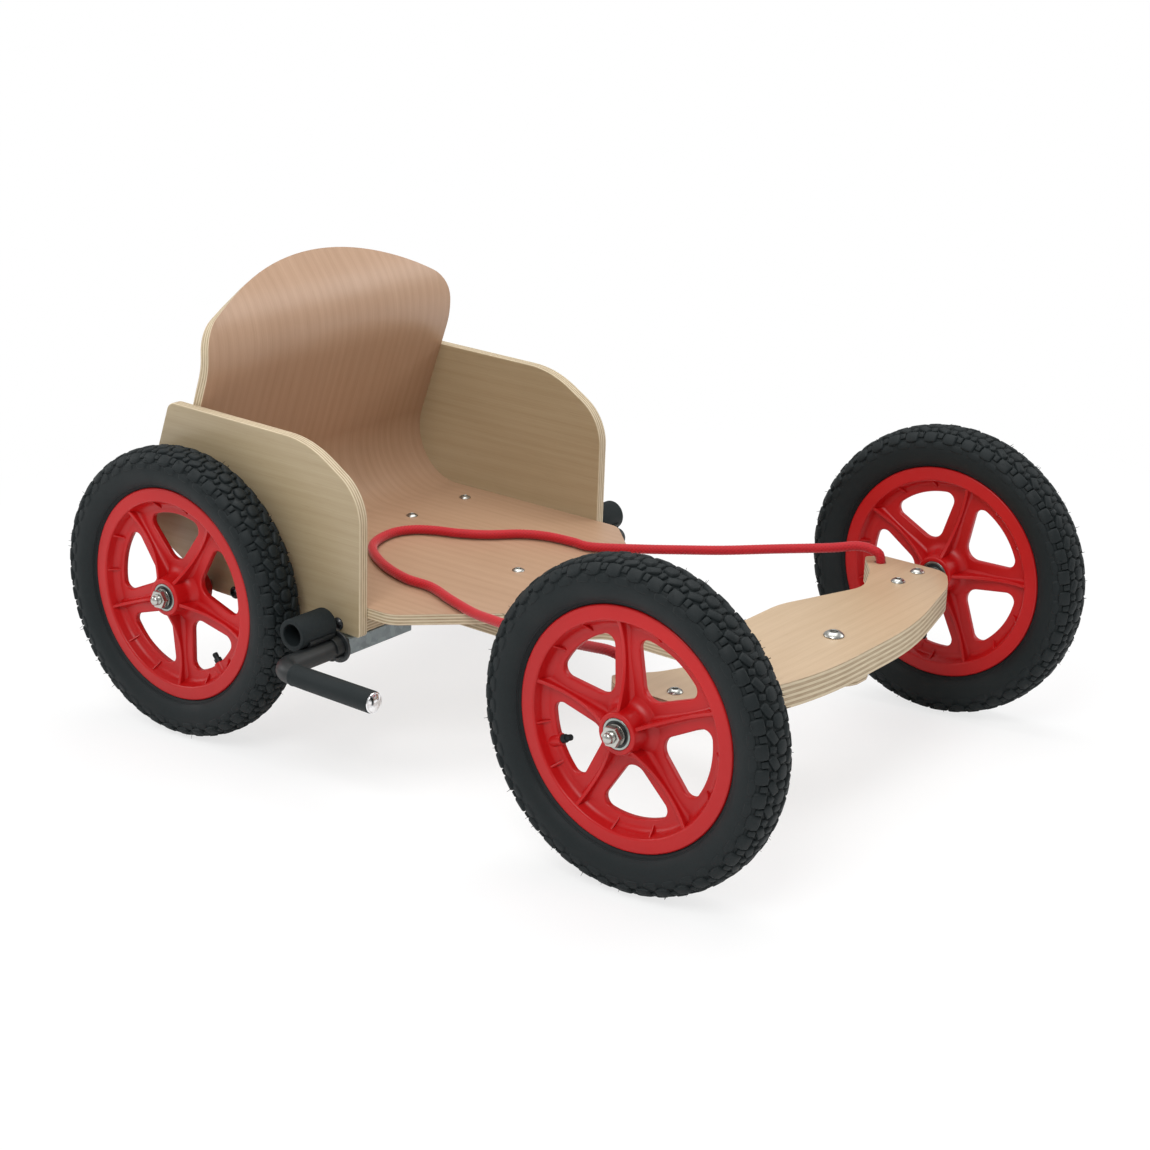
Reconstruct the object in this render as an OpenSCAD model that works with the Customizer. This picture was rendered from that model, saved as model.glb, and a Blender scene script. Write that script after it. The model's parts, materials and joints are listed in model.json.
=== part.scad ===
// Child's soapbox car: bent plywood seat, swivelling front board and hand brake.
// X points forward, Y to the driver's left and Z up, with the ground at Z = 0.

/* [Layout] */
// Distance between the front and rear axle lines
wheelbase = 590; // [570:5:640]
// Thickness of each front spacer between the steering board and the wheel hub
front_spacer = 14.4; // [10:0.2:30]
// Thickness of each rear spacer between the side panel and the wheel hub
rear_spacer = 9.4; // [8:0.2:20]

/* [Seat and chassis] */
// Width of the seat between the side panels
seat_w = 368; // [350:2:400]
// Thickness of the bent plywood seat
seat_t = 11; // [9:0.5:14]
// Thickness of the chassis deck under the seat
deck_t = 18; // [15:1:22]
// Thickness of the block that carries the rear axle
block_t = 24; // [20:1:30]
// Thickness of each side panel
panel_t = 12; // [9:1:16]
// Height of the top of the seat back above the rear axle, square to the pan
back_h = 309; // [290:1:330]
// Inner radius of the bend between pan and back
seat_bend_r = 58; // [45:1:70]
// Radius of the lumbar bend on the front of the back
lumbar_r = 90; // [80:1:100]
// Radius of the arc along the top of the back
back_top_r = 350; // [300:5:420]
// Radius of the two top corners of the back
back_corner_r = 38; // [20:1:50]
// Half width of the tongue that reaches to the steering pivot
tongue_half = 34; // [26:1:40]
// Half width of the deck behind the tongue
deck_half = 101; // [80:1:115]

/* [Steering board] */
// Thickness of the steering board
board_t = 25; // [18:1:30]
// Half width of the steering board
board_half = 231; // [225:1:250]
// Distance of the pivot ahead of the front axle line
pivot_lead = 31; // [25:1:36]
// Diameter of the pivot bolt
pivot_d = 10; // [8:1:12]
// Diameter of the holes for the rope
rope_hole_d = 12; // [10:0.5:14]

/* [Wheels] */
// Outer diameter of the tyres
tyre_d = 300; // [290:2:310]
// Width of the tyres
tyre_w = 46; // [40:1:50]
// Diameter of the rim at the tyre's bead
bead_d = 203; // [199:1:205]
// Height of the rim flange over the bead seat
flange_h = 8.5; // [6:0.5:10]
// Width of the rim over both flanges
rim_w = 30.6; // [26:0.2:34]
// Number of spokes moulded in each rim
spoke_count = 5; // [5:1:6]
// Width of each spoke's web
spoke_w = 28; // [20:1:30]
// Thickness of the spokes' web
web_t = 7; // [5:0.5:9]
// Thickness of the stiffening ribs
rib_t = 3.2; // [2:0.2:4.5]
// Length of the hub between its two end faces
hub_len = 49.2; // [44:0.4:60]
// Diameter of the axles
axle_d = 12; // [10:1:13]
// Outer diameter of the hub bearings
bearing_od = 28; // [26:1:30]
// Width of the hub bearings
bearing_w = 8; // [6:1:10]
// Diameter of the threaded ends of the axles
thread_d = 10; // [7:1:10]
// Length of each axle past the hub's end face
axle_end = 15.4; // [14:0.2:24]
// Rows of tread blocks round each tyre
tread_rows = 42; // [30:1:48]
// Depth of the tread blocks
tread_depth = 3; // [2:0.5:4]

/* [Brakes] */
// Side of the square tube that carries each brake
rail_side = 18; // [16:1:22]
// Wall of the square tube
rail_wall = 1.5; // [1:0.5:2.5]
// Outer diameter of the brake shoe
shoe_d = 32; // [28:1:34]
// Bore of the brake shoe
shoe_bore = 22; // [18:1:24]
// Length of the brake shoe
shoe_len = 46; // [40:1:50]
// Gap between the brake shoe and the tyre at rest
shoe_gap = 11.5; // [8:0.5:14]
// Outer diameter of the brake lever's tube
lever_d = 20; // [18:1:22]
// Diameter of the shaft that joins the lever to both shoes
shaft_d = 8; // [7:0.5:8.5]
// Outer diameter of the hand grip
grip_d = 21.5; // [20.5:0.5:26]
// Reach of the handle ahead of the shaft
handle_len = 119; // [80:1:130]

/* [Rope] */
// Diameter of the steering rope
rope_d = 10; // [7:0.5:11]

/* [Hidden] */

left = 1;
right = -1;
// Clearances: radial on a turning fit, radial on a fixed fit, between faces that turn past each other
run_fit = 0.05;
fixed_fit = 0.1;
face_gap = 0.2;
curve_step = 7.5;
cut = 1;

// Heights in the chassis frame, whose origin is the rear axle and whose floor is the pan
pan_low = block_t / 2;
pan_top = pan_low + seat_t;
deck_low = pan_low - deck_t;
washer_t = 1;
board_low = pan_top + washer_t + face_gap;
board_mid = board_low + board_t / 2;
board_top = board_low + board_t;
pitch = asin(board_mid / wheelbase);
front_u = sqrt(wheelbase * wheelbase - board_mid * board_mid);
pivot_u = front_u + pivot_lead;
axle_z = tyre_d / 2;
front_x = wheelbase / 2;

seat_half = seat_w / 2;
panel_out = seat_half + panel_t;
hub_half = hub_len / 2;
rear_y = panel_out + rear_spacer + hub_half;
front_y = board_half + front_spacer + hub_half;

// Seat profile: bend centre, lumbar centre and the straight stretch that touches both bends
bend_c = [12, pan_top + seat_bend_r];
lumbar_c = [bend_c.x - 105.5, back_h - 77];
lumbar_vec = lumbar_c - bend_c;
lean = atan2(lumbar_vec.y, lumbar_vec.x) - asin((seat_bend_r + lumbar_r) / norm(lumbar_vec));
lumbar_end = 38;

// Plan of the pan: its corners are cut at 45 degrees down to the tongue
// The deck ends behind the pivot, so that only the pan carries the steering board
block_back = -18;
block_front = 72;
diagonal_sum = seat_half + 238;
deck_end = pivot_u - 24;

// Brake mechanism: shaft line and shoe
shoe_up = 21.2;
shoe_back = 14.5;
brake_u = tyre_d / 2 + shoe_gap + shoe_d / 2 + shoe_back;
brake_v = deck_low - rail_side / 2;
rail_in = seat_half - 74;
rail_out = panel_out + 5;
plug_t = 5;
disc_t = 3;
disc_r = 16;
disc_out = rail_out + plug_t + disc_t;
shoe_in = disc_out + 1;
elbow_r = 16;
lever_y = rear_y + 58;
cross_back = brake_u - 28;
cross_front = brake_u + rail_side / 2;
panel_front = cross_front + 8.5;

// Wheel details
bead_r = bead_d / 2;
flange_r = bead_r + flange_h;
rim_half = rim_w / 2;
flange_t = 3.2;
barrel_in = bead_r - 4.5;
window_r = bead_r - 19.5;
window_corner = 8;
window_tip = 10;
hub_r = bearing_od / 2 + 5;
hub_bore = 11;
web_half = web_t / 2;
rib_low = web_half + 4.5;
spoke_turn = 360 / spoke_count;
front_left_phase = 71;
front_right_phase = 165;
rear_left_phase = 12;
rear_right_phase = 270;
tyre_wall = 3;
valve_d = 8;
knot_d = 21;

// Points of an arc about c from angle a to angle b
function arc(c, r, a, b) =
    let (n = max(2, ceil(abs(b - a) / curve_step)))
    [for (i = [0:n]) c + r * [cos(a + (b - a) * i / n), sin(a + (b - a) * i / n)]];

// Turns one corner p between its neighbours a and b into an arc of radius r
function corner(a, p, b, r) =
    let (u = (a - p) / norm(a - p), w = (b - p) / norm(b - p))
    let (half = acos(max(-1, min(1, u * w))) / 2)
    let (c = p + (u + w) / norm(u + w) * r / sin(half))
    let (s = p + u * r / tan(half) - c, e = p + w * r / tan(half) - c)
    let (from = atan2(s.y, s.x), sweep = (atan2(e.y, e.x) - from + 540) % 360 - 180)
    arc(c, r, from, from + sweep);

// Outline through control points [x, y, radius], where a radius of 0 keeps the corner sharp
function rounded(points) =
    let (n = len(points))
    [for (i = [0:n - 1])
        let (p = points[i], a = points[(i + n - 1) % n], b = points[(i + 1) % n])
        each p.z == 0 ? [[p.x, p.y]] : corner([a.x, a.y], [p.x, p.y], [b.x, b.y], p.z)];

// A half outline for y >= 0 and its mirror image, as one outline
function mirrored(half) =
    let (n = len(half))
    concat(half, [for (i = [n - 1:-1:0]) [half[i].x, -half[i].y, half[i].z]]);

// The same for plain points
function both_sides(half) =
    let (n = len(half))
    concat(half, [for (i = [n - 1:-1:0]) [half[i].x, -half[i].y]]);

// Places children in the chassis frame: u forward along the pan, v square to it
module chassis_frame() {
    translate([-front_x, 0, axle_z]) rotate([0, pitch, 0]) children();
}

// Extrudes a u-v outline along Y from y0 to y1
module along_y(y0, y1) {
    translate([0, y1, 0]) rotate([90, 0, 0]) linear_extrude(y1 - y0) children();
}

// A round bar along Y from y0 to y1 at [u, v]
module bar_y(u, v, y0, y1, r) {
    translate([u, y0, v]) rotate([-90, 0, 0]) cylinder(h = y1 - y0, r = r, $fn = 48);
}

// A round bar along v from v0 to v1 at [u, y]
module bar_v(u, y, v0, v1, r) {
    translate([u, y, v0]) cylinder(h = v1 - v0, r = r, $fn = 48);
}

// Places children on one side's wheel with local Z pointing outboard
module front_wheel(side) {
    translate([front_x, side * front_y, axle_z]) rotate([-90 * side, 0, 0]) children();
}

module rear_wheel(side) {
    translate([-front_x, side * rear_y, axle_z]) rotate([-90 * side, 0, 0]) children();
}

// Low dome head with a hex socket, standing on v = 0
module dome_head(r, h) {
    dome_r = (r * r + h * h) / (2 * h);
    difference() {
        intersection() {
            translate([0, 0, h - dome_r]) sphere(r = dome_r, $fn = 64);
            cylinder(h = h, r = r, $fn = 64);
        }
        translate([0, 0, h * 0.35]) cylinder(h = h, r = r * 0.42, $fn = 6);
    }
}

module hex_nut(across, h, bore_r) {
    difference() {
        intersection() {
            cylinder(h = h, r = across / sqrt(3), $fn = 6);
            cylinder(h = h, r1 = across * 0.62, r2 = across * 0.53, $fn = 48);
        }
        translate([0, 0, -cut]) cylinder(h = h + 2 * cut, r = bore_r, $fn = 48);
    }
}

module washer(outer_r, inner_r, h) {
    difference() {
        cylinder(h = h, r = outer_r, $fn = 64);
        translate([0, 0, -cut]) cylinder(h = h + 2 * cut, r = inner_r, $fn = 48);
    }
}

// Seat and chassis

seat_bolt_r = 3;
seat_bolt_u = 52;
front_seat_bolt_u = 248;
seat_bolt_places = concat(
    [for (y = [-seat_half * 0.81, -60, 60, seat_half * 0.81]) [seat_bolt_u, y]],
    [[front_seat_bolt_u, 0]]);
seat_bolt_low = -8;

function seat_profile() =
    let (away = [cos(lumbar_end + 90), sin(lumbar_end + 90)])
    let (shoulder = lumbar_c + lumbar_r * [cos(lumbar_end), sin(lumbar_end)])
    let (top = shoulder + away * (back_h - shoulder.y) / away.y)
    let (inward = -seat_t * [cos(lumbar_end), sin(lumbar_end)])
    concat(
        [[pivot_u + tongue_half + cut, pan_low], [pivot_u + tongue_half + cut, pan_top]],
        arc(bend_c, seat_bend_r, 270, lean + 90),
        arc(lumbar_c, lumbar_r, lean - 90, lumbar_end),
        [top, top + inward],
        arc(lumbar_c, lumbar_r - seat_t, lumbar_end, lean - 90),
        arc(bend_c, seat_bend_r + seat_t, lean + 90, 270));

function pan_outline() =
    rounded(mirrored([
        [-150, seat_half, 0],
        [diagonal_sum - seat_half, seat_half, 25],
        [diagonal_sum - tongue_half, tongue_half, 22],
        [pivot_u, tongue_half, 0]]));

// Front view of the back: a wide arc with rounded corners over straight sides
function back_outline() =
    let (big_c = [0, back_h - back_top_r])
    let (corner_y = seat_half - back_corner_r, reach = back_top_r - back_corner_r)
    let (corner_v = big_c.y + sqrt(reach * reach - corner_y * corner_y))
    let (meet = acos(corner_y / reach))
    concat(
        [[-seat_half, -cut], [seat_half, -cut]],
        arc([corner_y, corner_v], back_corner_r, 0, meet),
        arc(big_c, back_top_r, meet, 180 - meet),
        arc([-corner_y, corner_v], back_corner_r, 180 - meet, 180));

module seat_shell() {
    color([0.78, 0.62, 0.46]) chassis_frame() difference() {
        intersection() {
            along_y(-seat_half, seat_half) polygon(seat_profile());
            union() {
                translate([0, 0, -cut]) linear_extrude(back_h + 2 * cut) polygon(pan_outline());
                translate([0, 0, -cut]) linear_extrude(back_h / 2) translate([pivot_u, 0])
                    circle(r = tongue_half, $fn = 96);
            }
            rotate([90, 0, 90]) translate([0, 0, -150])
                linear_extrude(pivot_u + 300) polygon(back_outline());
        }
        for (p = seat_bolt_places)
            bar_v(p.x, p.y, 0, pan_top + cut, seat_bolt_r + fixed_fit);
        bar_v(pivot_u, 0, 0, pan_top + cut, pivot_d / 2 + fixed_fit);
    }
}

panel_bolt_places = [[brake_u - 10, deck_low + deck_t / 2], [41, 0]];
panel_bolt_r = 3;
panel_bolt_reach = 30;

module side_panel(side) {
    outline = rounded([
        [-50, 181, 12],
        [140, 179, 110],
        [panel_front, 137, 55],
        [panel_front, deck_low, 4],
        [10, deck_low, 12],
        [-78, 40, 45],
        [-74, 110, 120]]);
    inner = side > 0 ? seat_half : -panel_out;
    color([0.75, 0.68, 0.52]) chassis_frame() difference() {
        along_y(inner, inner + panel_t) polygon(outline);
        bar_y(0, 0, -panel_out - cut, panel_out + cut, axle_d / 2 + fixed_fit);
        for (p = panel_bolt_places)
            bar_y(p.x, p.y, -panel_out - cut, panel_out + cut, panel_bolt_r + fixed_fit);
    }
}

module side_panel_left() {
    side_panel(left);
}

module side_panel_right() {
    side_panel(right);
}

module chassis_deck() {
    outline = rounded(mirrored([
        [block_front, deck_half, 0],
        [cross_back, deck_half, 6],
        [cross_back, seat_half, 0],
        [cross_front, seat_half, 0],
        [cross_front, deck_half, 6],
        [diagonal_sum - deck_half, deck_half, 20],
        [diagonal_sum - tongue_half, tongue_half, 22],
        [deck_end, tongue_half, 14]]));
    color([0.82, 0.70, 0.54]) chassis_frame() difference() {
        translate([0, 0, deck_low]) linear_extrude(deck_t) polygon(outline);
        bar_v(front_seat_bolt_u, 0, seat_bolt_low / 2, pan_low + cut, seat_bolt_r + fixed_fit);
        for (side = [left, right]) {
            panel_screw_hole(side, panel_bolt_places[0]);
            for (y = rail_screw_places)
                bar_v(brake_u, side * y, deck_low - cut, deck_low + rail_screw_reach,
                    rail_screw_r + fixed_fit);
        }
    }
}

// Blind hole for a panel bolt, from the panel inwards
module panel_screw_hole(side, place) {
    y = side > 0 ? seat_half - panel_bolt_reach : -seat_half - cut;
    bar_y(place.x, place.y, y, y + panel_bolt_reach + cut, panel_bolt_r + fixed_fit);
}

module rear_axle_block() {
    color([0.80, 0.69, 0.52]) chassis_frame() difference() {
        along_y(-seat_half, seat_half) polygon(rounded([
            [block_back, -block_t / 2, 3],
            [block_front, -block_t / 2, 3],
            [block_front, block_t / 2, 0],
            [block_back, block_t / 2, 3]]));
        bar_y(0, 0, -seat_half - cut, seat_half + cut, axle_d / 2 + fixed_fit);
        for (i = [0:3])
            bar_v(seat_bolt_places[i].x, seat_bolt_places[i].y, seat_bolt_low, pan_low + cut,
                seat_bolt_r + fixed_fit);
        for (side = [left, right]) panel_screw_hole(side, panel_bolt_places[1]);
    }
}

module seat_bolts() {
    color("silver") chassis_frame() for (p = seat_bolt_places) {
        low = p.y == 0 ? seat_bolt_low / 2 : seat_bolt_low;
        translate([p.x, p.y, pan_top]) dome_head(6.5, 2.4);
        bar_v(p.x, p.y, low, pan_top + 0.5, seat_bolt_r);
    }
}

module panel_bolts() {
    color([0.12, 0.12, 0.13]) chassis_frame() for (side = [left, right], p = panel_bolt_places) {
        y = side > 0 ? seat_half - panel_bolt_reach + 2 : -panel_out - 0.5;
        bar_y(p.x, p.y, y, y + panel_bolt_reach + panel_t - 1.5, panel_bolt_r);
        translate([p.x, side * panel_out, p.y]) rotate([-90 * side, 0, 0]) dome_head(6.5, 4);
    }
}

// Rear axle, spacers and nuts

axle_nut_h = 7;
axle_nut_across = 17;
axle_washer_t = 1.6;

// Axle end in a wheel's frame: shoulder at the hub face, thread and domed tip
module axle_tip() {
    tip_r = thread_d / 2;
    shoulder = hub_half + face_gap;
    translate([0, 0, shoulder - cut])
        cylinder(h = axle_end - tip_r * 0.6 - face_gap + cut, r = tip_r, $fn = 48);
    translate([0, 0, hub_half + axle_end - tip_r * 0.6]) intersection() {
        cylinder(h = tip_r * 0.6, r = tip_r, $fn = 48);
        translate([0, 0, tip_r * 0.6 - tip_r * 1.133]) sphere(r = tip_r * 1.133, $fn = 48);
    }
}

module axle_nut_set() {
    seat = hub_half + face_gap;
    translate([0, 0, seat]) washer(9.5, thread_d / 2 + fixed_fit, axle_washer_t);
    translate([0, 0, seat + axle_washer_t])
        hex_nut(axle_nut_across, axle_nut_h, thread_d / 2 + fixed_fit);
}

module rear_axle() {
    reach = rear_y + hub_half + face_gap;
    color("silver") {
        translate([-front_x, -reach, axle_z]) rotate([-90, 0, 0])
            cylinder(h = 2 * reach, r = axle_d / 2 - run_fit, $fn = 48);
        for (side = [left, right]) rear_wheel(side) axle_tip();
    }
}

module rear_spacers() {
    color([0.35, 0.36, 0.38]) for (side = [left, right]) rear_wheel(side)
        translate([0, 0, -hub_half - rear_spacer])
            washer(8.5, axle_d / 2 + fixed_fit, rear_spacer - face_gap);
}

module rear_axle_nuts() {
    color("silver") for (side = [left, right]) rear_wheel(side) axle_nut_set();
}

// Steering board and what it carries

lock_bolt_r = 3;
lock_bolt_places = [board_half - 59, board_half - 20.5];
stub_len = 81;
rope_hole_u = pivot_u - 74;
rope_hole_y = board_half - 20;

module steering_board() {
    tip = board_half;
    outline = rounded(mirrored([
        [pivot_u - 83.3, 36, 90],
        [pivot_u - 48, tip - 95.4, 40],
        [pivot_u - 68, tip - 50, 60],
        [pivot_u - 95, tip - 15, 6],
        [pivot_u - 82, tip, 10],
        [pivot_u - 9, tip, 26],
        [pivot_u + 13, tip - 37, 80],
        [pivot_u + 42.5, 78, 380]]));
    color([0.84, 0.72, 0.56]) chassis_frame() difference() {
        translate([0, 0, board_low]) linear_extrude(board_t) polygon(outline);
        bar_v(pivot_u, 0, board_low - cut, board_top + cut, pivot_d / 2 + run_fit);
        for (side = [left, right]) {
            stub_y = side > 0 ? board_half - stub_len : -board_half - cut;
            bar_y(front_u, board_mid, stub_y, stub_y + stub_len + cut, axle_d / 2 + fixed_fit);
            bar_v(rope_hole_u, side * rope_hole_y, board_low - cut, board_top + cut,
                rope_hole_d / 2);
            for (y = lock_bolt_places)
                bar_v(front_u, side * y, board_low - cut, board_top + cut,
                    lock_bolt_r + fixed_fit);
        }
    }
}

module front_axle(side) {
    length = stub_len + front_spacer + hub_len + face_gap;
    color("silver") difference() {
        front_wheel(side) {
            translate([0, 0, -hub_half - front_spacer - stub_len])
                cylinder(h = length, r = axle_d / 2 - run_fit, $fn = 48);
            axle_tip();
        }
        chassis_frame() for (y = lock_bolt_places)
            bar_v(front_u, side * y, board_low - cut, board_top + cut, lock_bolt_r + fixed_fit);
    }
}

module front_axle_left() {
    front_axle(left);
}

module front_axle_right() {
    front_axle(right);
}

module axle_lock_bolts() {
    nut_h = 4;
    color("silver") chassis_frame() for (side = [left, right], y = lock_bolt_places) {
        translate([front_u, side * y, board_top]) dome_head(7.2, 3.4);
        bar_v(front_u, side * y, board_low - nut_h - 2, board_top + 0.5, lock_bolt_r);
        translate([front_u, side * y, board_low - nut_h]) hex_nut(10, nut_h, lock_bolt_r - 0.3);
    }
}

module front_spacers() {
    color([0.35, 0.36, 0.38]) for (side = [left, right]) front_wheel(side)
        translate([0, 0, -hub_half - front_spacer])
            washer(8.5, axle_d / 2 + fixed_fit, front_spacer - face_gap);
}

module front_axle_nuts() {
    color("silver") for (side = [left, right]) front_wheel(side) axle_nut_set();
}

pivot_nut_h = 8;
pivot_flange_t = 2;

module pivot_bolt() {
    color("silver") chassis_frame() {
        translate([pivot_u, 0, board_top + face_gap]) dome_head(10, 4.5);
        bar_v(pivot_u, 0, pan_low - pivot_nut_h - 3, board_top + face_gap + 0.5, pivot_d / 2);
    }
}

module pivot_nut() {
    bore_r = pivot_d / 2 + fixed_fit;
    color("silver") chassis_frame() translate([pivot_u, 0, pan_low]) {
        translate([0, 0, -pivot_nut_h]) hex_nut(pivot_d * 1.7, pivot_nut_h - cut / 2, bore_r);
        translate([0, 0, -pivot_flange_t]) washer(pivot_d * 1.15, bore_r, pivot_flange_t);
    }
}

module thrust_washer() {
    color([0.9, 0.9, 0.88]) chassis_frame() translate([pivot_u, 0, pan_top])
        washer(tongue_half - 4, pivot_d / 2 + fixed_fit, washer_t);
}

// Wheels, in their own frame with Z along the axle

// Outline of a window between two spokes, centred on the X axis
function window_outline() =
    let (half_turn = spoke_turn / 2, side_gap = spoke_w / 2)
    let (c = window_r - window_corner)
    let (turn = half_turn - asin((side_gap + window_corner) / c))
    let (tip_x = (side_gap + window_tip) / sin(half_turn))
    concat(
        arc([0, 0], window_r, -turn, turn),
        arc(c * [cos(turn), sin(turn)], window_corner, turn, half_turn + 90),
        arc([tip_x, 0], window_tip, half_turn + 90, 270 - half_turn),
        arc(c * [cos(turn), -sin(turn)], window_corner, 270 - half_turn, 360 - turn));

// Half section of the rim for z >= 0, from the bore out to the flange and back to the well
function rim_half_section() =
    concat(
        [[hub_bore, hub_half], [hub_r - 0.8, hub_half], [hub_r, hub_half - 0.8]],
        arc([hub_r + 10, web_half + 9], 9, 180, 270),
        arc([barrel_in - 10, web_half + 7], 7, 270, 340),
        [[barrel_in - 0.8, rim_half], [flange_r - 1.2, rim_half],
            [flange_r, rim_half - 1.2], [flange_r, rim_half - flange_t + 0.8],
            [flange_r - 0.8, rim_half - flange_t], [bead_r + 1, rim_half - flange_t],
            [bead_r, rim_half - flange_t - 1], [bead_r, web_half + 4],
            [barrel_in + 0.9, web_half]]);

// A rib's height above the middle plane at radius r, lowest near two thirds of the way out
function rib_height(r) =
    let (low_r = window_r - 16)
    rib_low + (hub_half - 3 - rib_low) * pow((r - low_r) / (low_r - hub_r), 2);

module rim(phase) {
    rib_start = hub_bore + 3;
    rib_end = barrel_in - 1;
    rib_steps = 10;
    rib = both_sides([for (i = [0:rib_steps])
        let (r = rib_start + (rib_end - rib_start) * i / rib_steps)
        [r, min(rib_height(r), hub_half - 1.5)]]);
    gusset = both_sides([[window_r + 2, 0], [window_r + 2, web_half + 1],
        [barrel_in - 1, rim_half - 2.5], [barrel_in + 1, 0]]);
    difference() {
        rotate(phase) union() {
            difference() {
                rotate_extrude($fn = 120) polygon(both_sides(rim_half_section()));
                for (i = [0:spoke_count - 1]) rotate((i + 0.5) * spoke_turn)
                    translate([0, 0, -web_t]) linear_extrude(2 * web_t)
                        polygon(window_outline());
            }
            for (i = [0:spoke_count - 1]) rotate(i * spoke_turn) {
                translate([0, rib_t / 2, 0]) rotate([90, 0, 0])
                    linear_extrude(rib_t) polygon(rib);
                for (turn = [0.33, 0.67]) rotate(turn * spoke_turn)
                    translate([0, 1, 0]) rotate([90, 0, 0])
                        linear_extrude(2) polygon(gusset);
            }
            rotate(spoke_turn / 2) rotate([0, 90, 0]) translate([0, 0, window_r - 0.5])
                cylinder(h = barrel_in - window_r + 1, r = valve_d / 2 + 2.5, $fn = 32);
        }
        for (end = [1, -1]) translate([0, 0, end * (hub_half - bearing_w / 2 + cut / 2)])
            cylinder(h = bearing_w + cut, r = bearing_od / 2 + run_fit, center = true, $fn = 96);
        translate([0, 0, -hub_half]) cylinder(h = hub_len, r = hub_bore + 0.01, $fn = 96);
        rotate(phase + spoke_turn / 2) rotate([0, 90, 0]) translate([0, 0, window_r - 2])
            cylinder(h = flange_r - window_r, r = valve_d / 2 + fixed_fit, $fn = 32);
    }
}

tyre_r = tyre_d / 2;
tyre_mid = tyre_r - tyre_w * 0.52;

// Section of the tyre under its tread, shrunk about the middle of its chamber by the factor k
function tyre_section(k) =
    let (half = tyre_w / 2, r = tyre_r - tread_depth)
    let (bead_z = rim_half - flange_t - 0.3, share = (r - flange_r) / 37)
    let (points = rounded(mirrored([
        [bead_r + 0.4, bead_z, 2],
        [flange_r + 0.8, bead_z, 3],
        [flange_r + 5 * share, half - 3, 11 * share],
        [(flange_r + r) / 2, half + 1.2, 12 * share],
        [r - 7 * share, half - 1.5, 8 * share],
        [r, half - 11, 9 * share]])))
    [for (p = points) [tyre_mid + k * (p.x - tyre_mid), k * p.y]];

chamber_k = 1 - tyre_wall / (tyre_w / 2);
tube_k = chamber_k - 0.01;

// One row of tread blocks between two planes: a toothed disc whose rim tapers from r1 to r2
module tread_row(low, high, r1, r2, offset) {
    pitch_turn = 360 / tread_rows;
    root_r = min(r1, r2) - tread_depth - 1;
    teeth = [for (i = [0:tread_rows - 1], tooth = [
            [root_r, -0.36], [tyre_r + 1, -0.31], [tyre_r + 1, 0.31], [root_r, 0.36]])
        let (a = (i + offset + tooth.y) * pitch_turn)
        tooth.x * [cos(a), sin(a)]];
    translate([0, 0, low]) difference() {
        intersection() {
            linear_extrude(high - low) polygon(teeth);
            cylinder(h = high - low, r1 = r1, r2 = r2, $fn = 120);
        }
        translate([0, 0, -cut]) cylinder(h = high - low + 2 * cut, r = tyre_mid, $fn = 120);
    }
}

module tyre() {
    half = tyre_w / 2;
    shoulder_r = tyre_r - tread_depth * 1.6;
    difference() {
        union() {
            rotate_extrude($fn = 120) polygon(tyre_section(1));
            tread_row(-half * 0.26, half * 0.26, tyre_r, tyre_r, 0);
            tread_row(half * 0.38, half * 0.86, tyre_r - 0.3, shoulder_r, 0.5);
            tread_row(-half * 0.86, -half * 0.38, shoulder_r, tyre_r - 0.3, 0.5);
        }
        rotate_extrude($fn = 120) polygon(tyre_section(chamber_k));
        cylinder(h = rim_w * 0.42, r = bead_r + 6, center = true, $fn = 120);
    }
}

module inner_tube(phase) {
    tube_low = tyre_mid - tube_k * (tyre_mid - bead_r);
    stem_tip = window_r - 9;
    color([0.08, 0.08, 0.09]) {
        difference() {
            rotate_extrude($fn = 96) polygon(tyre_section(tube_k));
            rotate_extrude($fn = 96) polygon(tyre_section(tube_k - 0.06));
        }
        rotate(phase + spoke_turn / 2) rotate([0, 90, 0]) translate([0, 0, stem_tip])
            cylinder(h = tube_low + 1.4 - stem_tip, r = valve_d / 2, $fn = 32);
    }
}

module hub_bearings() {
    ring = both_sides([
        [axle_d / 2, bearing_w / 2], [axle_d / 2 + 2.3, bearing_w / 2],
        [axle_d / 2 + 2.6, bearing_w / 2 - 0.7], [bearing_od / 2 - 2.3, bearing_w / 2 - 0.7],
        [bearing_od / 2 - 2, bearing_w / 2], [bearing_od / 2 - 0.4, bearing_w / 2],
        [bearing_od / 2, bearing_w / 2 - 0.4]]);
    color([0.55, 0.58, 0.56]) {
        for (end = [1, -1]) translate([0, 0, end * (hub_half - bearing_w / 2)])
            rotate_extrude($fn = 96) polygon(ring);
        translate([0, 0, -hub_half + bearing_w])
            washer(axle_d / 2 + 2, axle_d / 2 + fixed_fit, hub_len - 2 * bearing_w);
    }
}

module rim_front_left() {
    color([0.86, 0.09, 0.08]) front_wheel(left) rim(front_left_phase);
}

module rim_front_right() {
    color([0.86, 0.09, 0.08]) front_wheel(right) rim(front_right_phase);
}

module rim_rear_left() {
    color([0.86, 0.09, 0.08]) rear_wheel(left) rim(rear_left_phase);
}

module rim_rear_right() {
    color([0.86, 0.09, 0.08]) rear_wheel(right) rim(rear_right_phase);
}

module tyre_front_left() {
    color([0.07, 0.10, 0.11]) front_wheel(left) tyre();
}

module tyre_front_right() {
    color([0.07, 0.10, 0.11]) front_wheel(right) tyre();
}

module tyre_rear_left() {
    color([0.07, 0.10, 0.11]) rear_wheel(left) tyre();
}

module tyre_rear_right() {
    color([0.07, 0.10, 0.11]) rear_wheel(right) tyre();
}

module inner_tube_front_left() {
    front_wheel(left) inner_tube(front_left_phase);
}

module inner_tube_front_right() {
    front_wheel(right) inner_tube(front_right_phase);
}

module inner_tube_rear_left() {
    rear_wheel(left) inner_tube(rear_left_phase);
}

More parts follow.
